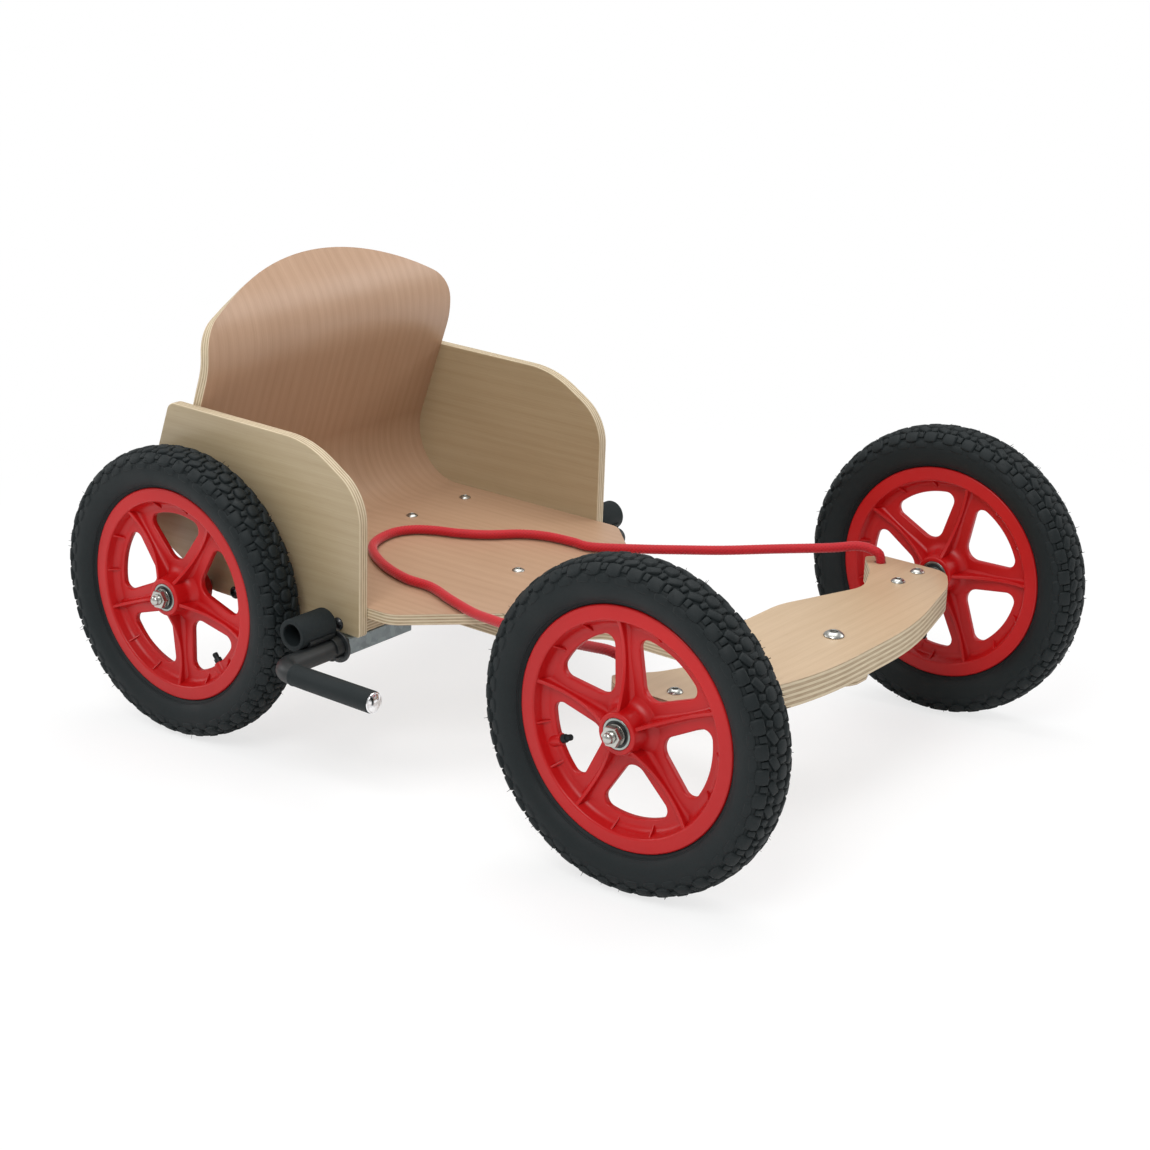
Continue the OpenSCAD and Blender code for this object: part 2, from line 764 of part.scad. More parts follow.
module inner_tube_rear_right() {
    rear_wheel(right) inner_tube(rear_right_phase);
}

module hub_bearings_front_left() {
    front_wheel(left) hub_bearings();
}

module hub_bearings_front_right() {
    front_wheel(right) hub_bearings();
}

module hub_bearings_rear_left() {
    rear_wheel(left) hub_bearings();
}

module hub_bearings_rear_right() {
    rear_wheel(right) hub_bearings();
}

// Brakes: one lever on the right turns a shaft that carries a shoe on each side.
// What both sides have is drawn for the left side and mirrored for the right.

rail_screw_r = 2.5;
rail_screw_head_r = 4.5;
rail_screw_head_h = 2.5;
rail_screw_reach = 14;
rail_screw_places = [rail_in + 12, rail_in + 40];
plug_reach = 20;
lever_in = disc_out + 0.3;
lever_out = lever_y - elbow_r;
arm_out = shoe_in + shoe_len - 6;
shaft_inset = 3;
grip_start = elbow_r + 3;
grip_wall = 2;

module brake_side(side) {
    chassis_frame() mirror([0, side > 0 ? 0 : 1, 0]) translate([brake_u, 0, brake_v]) children();
}

// The handle's frame, where X runs along the handle from the shaft's line
module handle_side() {
    brake_side(right) translate([0, lever_y, 0]) children();
}

module square_bar(side_len, y0, y1) {
    translate([-side_len / 2, y0, -side_len / 2]) cube([side_len, y1 - y0, side_len]);
}

// The tube's screws sit inside it on its upper wall, put in through holes in its lower wall
module brake_rail(side) {
    color([0.62, 0.68, 0.70]) brake_side(side) difference() {
        square_bar(rail_side, rail_in, rail_out);
        square_bar(rail_side - 2 * rail_wall, rail_in - cut, rail_out + cut);
        for (y = rail_screw_places) {
            bar_v(0, y, 0, rail_side, rail_screw_r + fixed_fit);
            bar_v(0, y, -rail_side, 0, rail_screw_head_r + 1);
        }
    }
}

module brake_rail_left() {
    brake_rail(left);
}

module brake_rail_right() {
    brake_rail(right);
}

module rail_plug(side) {
    bore = rail_side - 2 * rail_wall - 2 * fixed_fit;
    color([0.10, 0.11, 0.11]) brake_side(side) difference() {
        union() {
            square_bar(rail_side, rail_out, rail_out + plug_t);
            square_bar(bore, rail_out - plug_reach, rail_out + cut);
        }
        bar_y(0, 0, rail_out - plug_reach - cut, rail_out + plug_t + cut, shaft_d / 2 + run_fit);
    }
}

module rail_plug_left() {
    rail_plug(left);
}

module rail_plug_right() {
    rail_plug(right);
}

module rail_screws() {
    seat = rail_side / 2 - rail_wall;
    color("silver") for (side = [left, right], y = rail_screw_places) brake_side(side) {
        bar_v(0, y, seat - 0.5, rail_side / 2 + rail_screw_reach - 2, rail_screw_r);
        translate([0, y, seat]) rotate([180, 0, 0])
            dome_head(rail_screw_head_r, rail_screw_head_h);
    }
}

module brake_disc(side) {
    color([0.09, 0.10, 0.10]) brake_side(side) difference() {
        bar_y(0, 0, rail_out + plug_t, disc_out, disc_r);
        bar_y(0, 0, rail_out, disc_out + cut, shaft_d / 2 + run_fit);
    }
}

module brake_disc_left() {
    brake_disc(left);
}

module brake_disc_right() {
    brake_disc(right);
}

module brake_shaft() {
    color("silver") brake_side(left)
        bar_y(0, 0, -lever_out + shaft_inset, arm_out - shaft_inset, shaft_d / 2);
}

// Collar, tube along the shaft out to y_end, and cradle under the shoe
module shoe_carrier(y_end) {
    cradle_in = shoe_in + 4;
    cradle_out = shoe_in + shoe_len - 8;
    bar_y(0, 0, lever_in, lever_in + 10, lever_d / 2 + 2);
    bar_y(0, 0, lever_in, y_end, lever_d / 2);
    intersection() {
        bar_y(-shoe_back, shoe_up, cradle_in, cradle_out, shoe_d / 2 + 2.4);
        along_y(cradle_in, cradle_out) polygon([
            [-lever_d / 2, 0], [lever_d / 2, 0],
            [lever_d / 2 - 4, shoe_up * 0.7], [-shoe_back - 13, shoe_up * 0.45],
            [-shoe_back - 6, 2]]);
    }
    along_y(cradle_in, cradle_out) polygon([
        [-lever_d / 2 + 1, 2], [lever_d / 2 - 2, 2],
        [3, shoe_up * 0.55], [-shoe_back - 4, shoe_up * 0.4]]);
}

// Room for the shoe, and the bore that is fixed on the shaft
module carrier_cuts(y_end) {
    bar_y(-shoe_back, shoe_up, lever_in, lever_y, shoe_d / 2 + fixed_fit);
    bar_y(0, 0, lever_in - cut, y_end - shaft_inset + 1, shaft_d / 2 + fixed_fit);
}

module brake_arm_left() {
    color([0.10, 0.13, 0.14]) brake_side(left) difference() {
        shoe_carrier(arm_out);
        carrier_cuts(arm_out);
    }
}

// Lever: the carrier of the right shoe, an elbow and the handle in one bent tube
module brake_lever() {
    core = grip_d / 2 - grip_wall;
    color([0.10, 0.13, 0.14]) union() {
        brake_side(right) difference() {
            shoe_carrier(lever_out);
            carrier_cuts(lever_out);
        }
        handle_side() {
            translate([elbow_r, -elbow_r, 0]) rotate(90)
                rotate_extrude(angle = 90, $fn = 96) translate([elbow_r, 0])
                    circle(r = lever_d / 2, $fn = 48);
            translate([elbow_r, 0, 0]) rotate([0, 90, 0])
                cylinder(h = grip_start - elbow_r, r = lever_d / 2, $fn = 48);
            translate([elbow_r, 0, 0]) rotate([0, 90, 0])
                cylinder(h = handle_len - elbow_r, r = core, $fn = 48);
        }
    }
}

module brake_shoe(side) {
    color([0.12, 0.15, 0.16]) brake_side(side) difference() {
        bar_y(-shoe_back, shoe_up, shoe_in, shoe_in + shoe_len, shoe_d / 2);
        bar_y(-shoe_back, shoe_up, shoe_in - cut, shoe_in + shoe_len + cut, shoe_bore / 2);
    }
}

module brake_shoe_left() {
    brake_shoe(left);
}

module brake_shoe_right() {
    brake_shoe(right);
}

module hand_grip() {
    color([0.11, 0.14, 0.15]) handle_side() translate([grip_start, 0, 0]) rotate([0, 90, 0])
        washer(grip_d / 2, grip_d / 2 - grip_wall + fixed_fit, handle_len - grip_start);
}

module lever_cap() {
    rise = 3;
    cap_r = grip_d / 2 - 0.6;
    dome_r = (cap_r * cap_r + rise * rise) / (2 * rise);
    color([0.85, 0.85, 0.86]) handle_side() translate([handle_len, 0, 0])
        rotate([0, 90, 0]) union() {
            cylinder(h = 1.5, r = cap_r, $fn = 64);
            translate([0, 0, 1.5]) intersection() {
                cylinder(h = rise, r = cap_r, $fn = 64);
                translate([0, 0, rise - dome_r]) sphere(r = dome_r, $fn = 96);
            }
        }
}

// Steering rope: from one horn back over the pan to the other horn

rope_lie = pan_top + rope_d / 2 + 0.3;
rope_route = [
    [rope_hole_u, rope_hole_y, board_low - 0.6],
    [rope_hole_u, rope_hole_y, board_top + 4],
    [538, 208, 61],
    [523, 203, 63],
    [498, 192, 58],
    [448, 172, 50],
    [398, 151, 42],
    [358, 135, 37],
    [317, 118, 32.5],
    [268, 98, rope_lie],
    [243, 97, rope_lie],
    [212, 93, rope_lie],
    [187, 80, rope_lie],
    [163, 54, rope_lie],
    [138, 37, rope_lie],
    [114, 27, rope_lie],
    [95, 13, rope_lie],
    [86, -10, rope_lie],
    [92, -42, rope_lie],
    [110, -67, rope_lie],
    [148, -92, rope_lie],
    [190, -107, rope_lie],
    [225, -109, rope_lie],
    [264, -124, rope_lie],
    [304, -138, 29],
    [340, -151, 34],
    [385, -167, 41],
    [430, -183, 49],
    [490, -203, 63],
    [519, -210, 68],
    [538, -211, 64],
    [rope_hole_u, -rope_hole_y, board_top + 4],
    [rope_hole_u, -rope_hole_y, board_low - 0.6]];
rope_sides = 10;
rope_cuts = 2;

// A smooth curve through four neighbouring route points, at t from the second to the third
function spline(a, b, c, d, t) =
    0.5 * (2 * b + (c - a) * t + (2 * a - 5 * b + 4 * c - d) * t * t
        + (3 * b - 3 * c + d - a) * t * t * t);

function route_curve(points) =
    let (n = len(points))
    [for (i = [0:n - 2], j = [0:rope_cuts - 1])
        spline(points[max(i - 1, 0)], points[i], points[i + 1], points[min(i + 2, n - 1)],
            j / rope_cuts),
        points[n - 1]];

function unit(v) = v / norm(v);

// Direction of the curve at each point
function headings(points) =
    let (n = len(points))
    [for (i = [0:n - 1]) i == 0 || i == n - 1 ? [0, 0, i == 0 ? 1 : -1]
        : unit(points[i + 1] - points[i - 1])];

// A side vector carried along the curve without twist
function carried(heads) =
    [for (i = 0, s = [1, 0, 0]; i < len(heads);
        i = i + 1, s = i < len(heads) ? unit(s - (s * heads[i]) * heads[i]) : s) s];

module rope() {
    centre = route_curve(rope_route);
    heads = headings(centre);
    sides = carried(heads);
    n = len(centre);
    points = [for (i = [0:n - 1], j = [0:rope_sides - 1])
        let (a = j * 360 / rope_sides)
        centre[i] + rope_d / 2 * (cos(a) * sides[i] + sin(a) * cross(heads[i], sides[i]))];
    walls = [for (i = [0:n - 2], j = [0:rope_sides - 1])
        let (k = (j + 1) % rope_sides, p = i * rope_sides, q = p + rope_sides)
        each [[p + j, q + j, q + k], [p + j, q + k, p + k]]];
    ends = [[for (j = [0:rope_sides - 1]) j],
        [for (j = [rope_sides - 1:-1:0]) (n - 1) * rope_sides + j]];
    color([0.85, 0.07, 0.10]) chassis_frame() polyhedron(points, concat(ends, walls));
}

// Stopper knots under the horns, flat where the rope enters
module rope_knots() {
    color([0.85, 0.07, 0.10]) chassis_frame() for (side = [left, right])
        translate([rope_hole_u, side * rope_hole_y, board_low - 0.6]) intersection() {
            translate([0, 0, -knot_d * 0.42]) sphere(r = knot_d / 2, $fn = 48);
            translate([0, 0, -knot_d]) cylinder(h = knot_d, r = knot_d, $fn = 32);
        }
}

seat_shell();
side_panel_left();
side_panel_right();
chassis_deck();
rear_axle_block();
seat_bolts();
panel_bolts();
rear_axle();
rear_spacers();
rear_axle_nuts();
pivot_bolt();
pivot_nut();
thrust_washer();
brake_rail_left();
brake_rail_right();
rail_plug_left();
rail_plug_right();
rail_screws();
brake_disc_left();
brake_disc_right();
steering_board();
front_axle_left();
front_axle_right();
axle_lock_bolts();
front_spacers();
front_axle_nuts();
rope();
rope_knots();
rim_front_left();
rim_front_right();
rim_rear_left();
rim_rear_right();
tyre_front_left();
tyre_front_right();
tyre_rear_left();
tyre_rear_right();
inner_tube_front_left();
inner_tube_front_right();
inner_tube_rear_left();
inner_tube_rear_right();
hub_bearings_front_left();
hub_bearings_front_right();
hub_bearings_rear_left();
hub_bearings_rear_right();
brake_shaft();
brake_lever();
brake_arm_left();
brake_shoe_left();
brake_shoe_right();
hand_grip();
lever_cap();
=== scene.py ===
import json
import math
import random

import bmesh
import bpy
import numpy as np
from bpy.props import (BoolProperty, FloatProperty, FloatVectorProperty, IntProperty,
                       PointerProperty)
from mathutils import Matrix, Vector


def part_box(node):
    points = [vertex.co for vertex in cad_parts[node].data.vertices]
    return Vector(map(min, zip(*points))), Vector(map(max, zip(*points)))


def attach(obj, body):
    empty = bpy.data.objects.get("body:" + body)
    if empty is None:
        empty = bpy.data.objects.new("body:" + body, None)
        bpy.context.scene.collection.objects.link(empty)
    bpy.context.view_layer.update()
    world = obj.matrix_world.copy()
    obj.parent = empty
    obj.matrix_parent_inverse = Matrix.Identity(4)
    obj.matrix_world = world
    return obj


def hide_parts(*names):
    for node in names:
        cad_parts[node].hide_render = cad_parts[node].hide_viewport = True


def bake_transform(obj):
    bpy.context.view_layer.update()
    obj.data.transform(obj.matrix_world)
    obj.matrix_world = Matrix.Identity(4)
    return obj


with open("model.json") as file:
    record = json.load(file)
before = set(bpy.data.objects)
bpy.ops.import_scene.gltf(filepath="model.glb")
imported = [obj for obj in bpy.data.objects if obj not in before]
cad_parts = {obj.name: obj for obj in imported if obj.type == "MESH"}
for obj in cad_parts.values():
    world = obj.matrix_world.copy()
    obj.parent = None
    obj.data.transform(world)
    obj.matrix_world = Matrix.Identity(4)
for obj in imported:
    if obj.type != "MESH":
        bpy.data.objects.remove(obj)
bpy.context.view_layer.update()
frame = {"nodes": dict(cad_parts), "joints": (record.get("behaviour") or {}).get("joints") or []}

bl_info = {
    "name": "Soapbox car dresser",
    "version": (1, 0, 0),
    "blender": (4, 5, 0),
    "location": "View3D > Sidebar > Soapbox",
    "description": "Builds the plywood, moulded wheels, tyres, brakes and rope of a soapbox car",
    "category": "Object",
}

# Every shape is drawn in millimetres in one of three frames and then placed: the chassis frame
# (u forward along the pan, y to the left, v square to the pan), a wheel frame (z outboard along
# the axle) and a brake frame (on the brake shaft, drawn for the left side).
MM = 0.001
SIDES = {"left": 1, "right": -1}
# Turns a shape drawn along z: out along x, or out along y with its own y as height
ALONG_X = Matrix.Rotation(math.pi / 2, 4, "Y")
ALONG_Y = Matrix(((1, 0, 0, 0), (0, 0, 1, 0), (0, 1, 0, 0), (0, 0, 0, 1)))
WHEELS = ("front_left", "front_right", "rear_left", "rear_right")


def middle(node):
    low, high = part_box(node)
    return (low + high) / 2


STEER_AXIS = Vector(next(j["axis"] for j in frame["joints"] if j["name"] == "steer"))
PITCH = math.atan2(STEER_AXIS.x, STEER_AXIS.z)
REAR_AXLE = Vector((middle("rear_axle").x, 0, middle("rear_axle").z))
CHASSIS = Matrix.Translation(REAR_AXLE) @ Matrix.Rotation(PITCH, 4, "Y") @ Matrix.Scale(MM, 4)


def wheel_place(wheel):
    """Matrix from a wheel's own frame in millimetres to the car, with z pointing outboard."""
    centre = middle("hub_bearings_" + wheel)
    turn = Matrix.Rotation(-math.copysign(math.pi / 2, centre.y), 4, "X")
    return Matrix.Translation(centre) @ turn @ Matrix.Scale(MM, 4)


def brake_place(side):
    """Matrix from the brake's frame in millimetres to the car, mirrored for the right side."""
    shaft = CHASSIS.inverted() @ middle("brake_disc_" + side)
    flip = Matrix.Diagonal((1, SIDES[side], 1, 1))
    return CHASSIS @ Matrix.Translation((shaft.x, 0, shaft.z)) @ flip


# Sizes and colours

class SoapboxSizes(bpy.types.PropertyGroup):
    pan_thickness: FloatProperty(
        name="Seat thickness", description="Thickness of the bent plywood seat, in millimetres",
        default=11, min=9, max=14)
    veneer: FloatProperty(
        name="Veneer", description="Thickness of one ply of the plywood, in millimetres",
        default=1.55, min=0.8, max=3)
    edge_radius: FloatProperty(
        name="Board edges", description="Radius sanded on the plywood's edges, in millimetres",
        default=1.6, min=0.3, max=4)
    rope_diameter: FloatProperty(
        name="Rope", description="Diameter of the steering rope, in millimetres",
        default=10, min=6, max=11)
    rope_strands: IntProperty(
        name="Rope strands", description="Strands that run each way round the braid",
        default=8, min=4, max=12)
    tread_rows: IntProperty(
        name="Tread rows", description="Blocks in each row round a tyre",
        default=42, min=24, max=60)
    vent_hairs: IntProperty(
        name="Vent hairs", description="Moulding hairs left on each tyre",
        default=110, min=0, max=300)
    spokes: IntProperty(
        name="Spokes", description="Spokes moulded in each rim", default=5, min=5, max=6)
    live_modifiers: BoolProperty(
        name="Weighted normals", description="Keep flat faces flat beside rounded edges",
        default=True)


def colour(name, description, value):
    return FloatVectorProperty(name=name, description=description, subtype="COLOR", size=3,
                               min=0, max=1, default=value)


class SoapboxFinish(bpy.types.PropertyGroup):
    seat: colour("Seat face", "Warm face veneer of the seat", (0.430, 0.268, 0.168))
    panel: colour("Panel face", "Greenish birch veneer of the side panels", (0.385, 0.300, 0.180))
    board: colour("Board face", "Light birch veneer of the deck and steering board",
                  (0.500, 0.360, 0.225))
    ply_light: colour("Long plies", "Cream plies of the cut edge", (0.640, 0.545, 0.380))
    ply_dark: colour("Cross plies", "Brown cross plies of the cut edge", (0.330, 0.235, 0.140))
    red: colour("Red plastic", "Moulded plastic of the rims", (0.440, 0.003, 0.004))
    rope: colour("Red rope", "Braided steering rope", (0.500, 0.006, 0.014))
    tyre: colour("Tyre rubber", "Black rubber with a faint teal cast", (0.0040, 0.0075, 0.0085))
    rubber: colour("Black rubber", "Brake shoes and grips", (0.0060, 0.0100, 0.0112))
    galvanised: colour("Galvanised steel", "Square brake tubes", (0.300, 0.355, 0.375))
    zinc: colour("Zinc plate", "Bolts, nuts and axles", (0.480, 0.480, 0.450))
    floor: colour("Floor", "Pale floor and backdrop", (0.90, 0.90, 0.90))


def sizes():
    return bpy.context.scene.soapbox_sizes


def finish():
    return bpy.context.scene.soapbox_finish


# Outlines

def arc(centre, radius, start, end, step=5.0):
    """Points of an arc, angles in degrees."""
    n = max(2, math.ceil(abs(end - start) / step))
    return [(centre[0] + radius * math.cos(math.radians(start + (end - start) * i / n)),
             centre[1] + radius * math.sin(math.radians(start + (end - start) * i / n)))
            for i in range(n + 1)]


def rounded(points, step=5.0):
    """Closed outline through (x, y, radius), where a radius of 0 keeps the corner sharp."""
    outline = []
    for i, (x, y, radius) in enumerate(points):
        if not radius:
            outline.append((x, y))
            continue
        p = Vector((x, y))
        u = (Vector(points[i - 1][:2]) - p).normalized()
        w = (Vector(points[(i + 1) % len(points)][:2]) - p).normalized()
        half = u.angle(w) / 2
        c = p + (u + w).normalized() * radius / math.sin(half)
        s = p + u * radius / math.tan(half) - c
        e = p + w * radius / math.tan(half) - c
        start = math.degrees(math.atan2(s.y, s.x))
        sweep = (math.degrees(math.atan2(e.y, e.x)) - start + 540) % 360 - 180
        outline += arc(c, radius, start, start + sweep, step)
    return outline


def mirrored(half):
    """A half outline for y >= 0 followed by its mirror image."""
    return list(half) + [(p[0], -p[1], *p[2:]) for p in reversed(half)]


def smooth_curve(points, cuts):
    """Points of a Catmull-Rom curve through the given points, each span cut into equal steps."""
    pts = [Vector(p) for p in points]
    last = len(pts) - 1
    curve = []
    for i in range(last):
        a, b, c, d = pts[max(i - 1, 0)], pts[i], pts[i + 1], pts[min(i + 2, last)]
        for j in range(cuts):
            t = j / cuts
            curve.append(0.5 * (2 * b + (c - a) * t + (2 * a - 5 * b + 4 * c - d) * t * t
                                + (3 * b - 3 * c + d - a) * t ** 3))
    return curve + [pts[last]]


def even_steps(points, count):
    """The same line cut into count equal lengths, and its whole length."""
    pts = [Vector(p) for p in points]
    run = [0.0]
    for a, b in zip(pts, pts[1:]):
        run.append(run[-1] + (b - a).length)
    out, k = [], 0
    for i in range(count + 1):
        s = run[-1] * i / count
        while k < len(pts) - 2 and run[k + 1] < s:
            k += 1
        t = (s - run[k]) / max(run[k + 1] - run[k], 1e-9)
        out.append(pts[k].lerp(pts[k + 1], min(t, 1)))
    return out, run[-1]


# Mesh helpers

def verts_of(result):
    return [g for g in result["geom"] if isinstance(g, bmesh.types.BMVert)]


def round_edges(bm, edges, radius, segments=3):
    if edges and radius > 0:
        bmesh.ops.bevel(bm, geom=edges, offset=radius, offset_type="OFFSET", segments=segments,
                        profile=0.5, affect="EDGES", clamp_overlap=True, material=-1)


def slab(bm, outline, low, high, soft=0.0, holes=(), segments=3):
    """Extrudes an outline with holes from low to high in z and rounds its rims."""
    fresh = bmesh.new()
    edges = []
    for loop in [outline, *holes]:
        ring = [fresh.verts.new((x, y, low)) for x, y in loop]
        edges += [fresh.edges.new((ring[i - 1], ring[i])) for i in range(len(ring))]
    if holes:
        bmesh.ops.triangle_fill(fresh, use_beauty=True, use_dissolve=False, edges=edges)
    else:
        bmesh.ops.contextual_create(fresh, geom=edges)
    grown = bmesh.ops.extrude_face_region(fresh, geom=fresh.faces[:])
    bmesh.ops.translate(fresh, verts=verts_of(grown), vec=(0, 0, high - low))
    bmesh.ops.recalc_face_normals(fresh, faces=fresh.faces[:])
    rims = [e for e in fresh.edges
            if len(e.link_faces) == 2 and abs(e.verts[0].co.z - e.verts[1].co.z) < 1e-6
            and e.calc_face_angle() > 0.5]
    round_edges(fresh, rims, soft, segments)
    join(bm, fresh)


def join(bm, other, matrix=None):
    """Adds another bmesh to bm and frees it."""
    if matrix is not None:
        other.transform(matrix)
        if matrix.determinant() < 0:
            bmesh.ops.reverse_faces(other, faces=other.faces[:])
    mesh = bpy.data.meshes.new("part")
    other.to_mesh(mesh)
    other.free()
    bm.from_mesh(mesh)
    bpy.data.meshes.remove(mesh)


def lathe(bm, profile, steps=96, matrix=None, closed=False):
    """Turns a profile of (radius, height) about z. An open profile starts and ends on the axis."""
    fresh = bmesh.new()
    chain = [fresh.verts.new((r, 0, z)) for r, z in profile]
    edges = [fresh.edges.new(pair) for pair in zip(chain, chain[1:])]
    if closed:
        edges.append(fresh.edges.new((chain[-1], chain[0])))
    bmesh.ops.spin(fresh, geom=chain + edges, cent=(0, 0, 0), axis=(0, 0, 1),
                   angle=2 * math.pi, steps=steps, use_merge=True, use_duplicate=False)
    bmesh.ops.remove_doubles(fresh, verts=fresh.verts[:], dist=1e-4)
    bmesh.ops.recalc_face_normals(fresh, faces=fresh.faces[:])
    join(bm, fresh, matrix)


def loft(bm, sections, matrix=None):
    """Skins closed loops of 3D points, given one after the other, and caps both ends."""
    fresh = bmesh.new()
    ring = [fresh.verts.new(p) for p in sections[0]]
    edges = [fresh.edges.new((ring[i - 1], ring[i])) for i in range(len(ring))]
    bmesh.ops.contextual_create(fresh, geom=edges)
    for section in sections[1:]:
        grown = bmesh.ops.extrude_edge_only(fresh, edges=edges)["geom"]
        new = {}
        for g in grown:
            if isinstance(g, bmesh.types.BMVert):
                new[g] = None
        fresh.verts.ensure_lookup_table()
        fresh_ring = []
        for v in ring:
            fresh_ring.append(next(e.other_vert(v) for e in v.link_edges
                                   if e.other_vert(v) in new))
        for v, p in zip(fresh_ring, section):
            v.co = p
        ring = fresh_ring
        edges = [fresh.edges.get((ring[i - 1], ring[i])) for i in range(len(ring))]
    bmesh.ops.contextual_create(fresh, geom=edges)
    bmesh.ops.recalc_face_normals(fresh, faces=fresh.faces[:])
    join(bm, fresh, matrix)


def pipe(bm, line, radii, sides=32):
    """A round bar along a line of points, with one radius for each point."""
    pts = [Vector(p) for p in line]
    heads = [(pts[min(i + 1, len(pts) - 1)] - pts[max(i - 1, 0)]).normalized()
             for i in range(len(pts))]
    side = heads[0].orthogonal().normalized()
    sections = []
    for p, head, radius in zip(pts, heads, radii):
        side = (side - head * side.dot(head)).normalized()
        up = head.cross(side)
        sections.append([p + radius * (math.cos(2 * math.pi * j / sides) * side
                                       + math.sin(2 * math.pi * j / sides) * up)
                         for j in range(sides)])
    loft(bm, sections)


def hex_socket_head(bm, radius, height, matrix, recess=0.42, depth=0.6):
    """A domed bolt head standing on z = 0 with a six-sided socket."""
    fresh = bmesh.new()
    steps = 36

    def ring(r, z, six=False):
        loop = []
        for i in range(steps):
            a = 2 * math.pi * i / steps
            k = 1.0
            if six:
                b = (a + math.pi / 6) % (math.pi / 3) - math.pi / 6
                k = math.cos(math.pi / 6) / math.cos(b)
            loop.append((r * k * math.cos(a), r * k * math.sin(a), z))
        return loop

    hole = radius * recess
    rows = [ring(radius * 0.97, 0), ring(radius, height * 0.12), ring(radius * 0.985, height * 0.22)]
    for share in (0.93, 0.84, 0.72, 0.60, 0.52):
        rows.append(ring(radius * share, height * (0.22 + 0.78 * (1 - share ** 2.6) / 0.86)))
    top = height * 0.97
    rows += [ring(hole * 1.10, top, True), ring(hole, top - 0.18, True),
             ring(hole * 0.98, top - height * depth, True)]
    first = [fresh.verts.new(p) for p in rows[0]]
    edges = [fresh.edges.new((first[i - 1], first[i])) for i in range(steps)]
    bmesh.ops.contextual_create(fresh, geom=edges)
    previous = edges
    for row in rows[1:]:
        loop = [fresh.verts.new(p) for p in row]
        edges = [fresh.edges.new((loop[i - 1], loop[i])) for i in range(steps)]
        bmesh.ops.bridge_loops(fresh, edges=previous + edges)
        previous = edges
    bmesh.ops.contextual_create(fresh, geom=previous)
    bmesh.ops.recalc_face_normals(fresh, faces=fresh.faces[:])
    join(bm, fresh, matrix)


def hex_nut(bm, across, height, bore, matrix, soft=0.5):
    """A chamfered hexagon nut standing on z = 0, with a countersunk bore."""
    fresh = bmesh.new()
    corner = across / math.sqrt(3)
    hexagon = [(corner * math.cos(math.radians(60 * i)), corner * math.sin(math.radians(60 * i)))
               for i in range(6)]
    hole = [(bore * math.cos(math.radians(12 * i)), bore * math.sin(math.radians(12 * i)))
            for i in range(30)]
    slab(fresh, hexagon, 0, height, soft, holes=[hole], segments=2)
    uprights = [e for e in fresh.edges
                if abs(e.verts[0].co.z - e.verts[1].co.z) > height * 0.5
                and Vector((e.verts[0].co.x, e.verts[0].co.y)).length > bore * 1.3]
    round_edges(fresh, uprights, 0.5, 2)
    join(bm, fresh, matrix)


def piece(name, bm, place, body, material, nodes=(), sharp=35, ply=None, weighted=True):
    """Places a finished bmesh in the car, gives it its material and hangs it on its body."""
    if ply:
        layer = bm.verts.layers.float_vector.new("ply")
        for v in bm.verts:
            v[layer] = Vector(ply(v.co)) * MM
    for e in bm.edges:
        e.smooth = not (len(e.link_faces) == 2 and e.calc_face_angle() > math.radians(sharp))
    for f in bm.faces:
        f.smooth = True
    bm.transform(place)
    if place.determinant() < 0:
        bmesh.ops.reverse_faces(bm, faces=bm.faces[:])
    mesh = bpy.data.meshes.new(name)
    bm.to_mesh(mesh)
    bm.free()
    mesh.materials.append(material)
    obj = bpy.data.objects.new(name, mesh)
    bpy.context.scene.collection.objects.link(obj)
    if weighted and sizes().live_modifiers:
        flat = obj.modifiers.new("Flat faces", "WEIGHTED_NORMAL")
        flat.keep_sharp = True
        flat.weight = 80
    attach(obj, body)
    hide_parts(*nodes)
    return obj


# Material helpers

class Nodes:
    """A short way to place and join the nodes of one node tree."""

    def __init__(self, tree):
        self.tree = tree

    def add(self, kind, values=None, **settings):
        node = self.tree.nodes.new(kind)
        for key, value in settings.items():
            setattr(node, key, value)
        for key, value in (values or {}).items():
            self.put(node.inputs[key], value)
        return node

    def put(self, socket, value):
        if isinstance(value, bpy.types.NodeSocket):
            self.tree.links.new(value, socket)
        else:
            socket.default_value = value

    def maths(self, operation, a, b=0.0, clamp=False):
        node = self.add("ShaderNodeMath", {0: a, 1: b}, operation=operation, use_clamp=clamp)
        return node.outputs[0]

    def noise(self, vector, scale, detail=3.0, rough=0.5, distortion=0.0):
        return self.add("ShaderNodeTexNoise", {"Vector": vector, "Scale": scale,
                                               "Detail": detail, "Roughness": rough,
                                               "Distortion": distortion}).outputs["Fac"]

    def ramp(self, value, low, high, out_low=0.0, out_high=1.0):
        node = self.add("ShaderNodeMapRange", {"Value": value, "From Min": low, "From Max": high,
                                               "To Min": out_low, "To Max": out_high})
        node.clamp = True
        return node.outputs["Result"]

    def mix(self, factor, a, b, blend="MIX"):
        node = self.add("ShaderNodeMix", data_type="RGBA", blend_type=blend)
        self.put(node.inputs[0], factor)
        self.put(node.inputs[6], a)
        self.put(node.inputs[7], b)
        return node.outputs[2]

    def scaled(self, vector, scale):
        return self.add("ShaderNodeMapping", {"Vector": vector, "Scale": scale},
                        vector_type="POINT").outputs["Vector"]

    def bump(self, height, distance, strength=1.0):
        return self.add("ShaderNodeBump", {"Height": height, "Distance": distance,
                                           "Strength": strength}).outputs["Normal"]


def rgba(value, share=1.0):
    return tuple(min(c * share, 1.0) for c in value) + (1.0,)


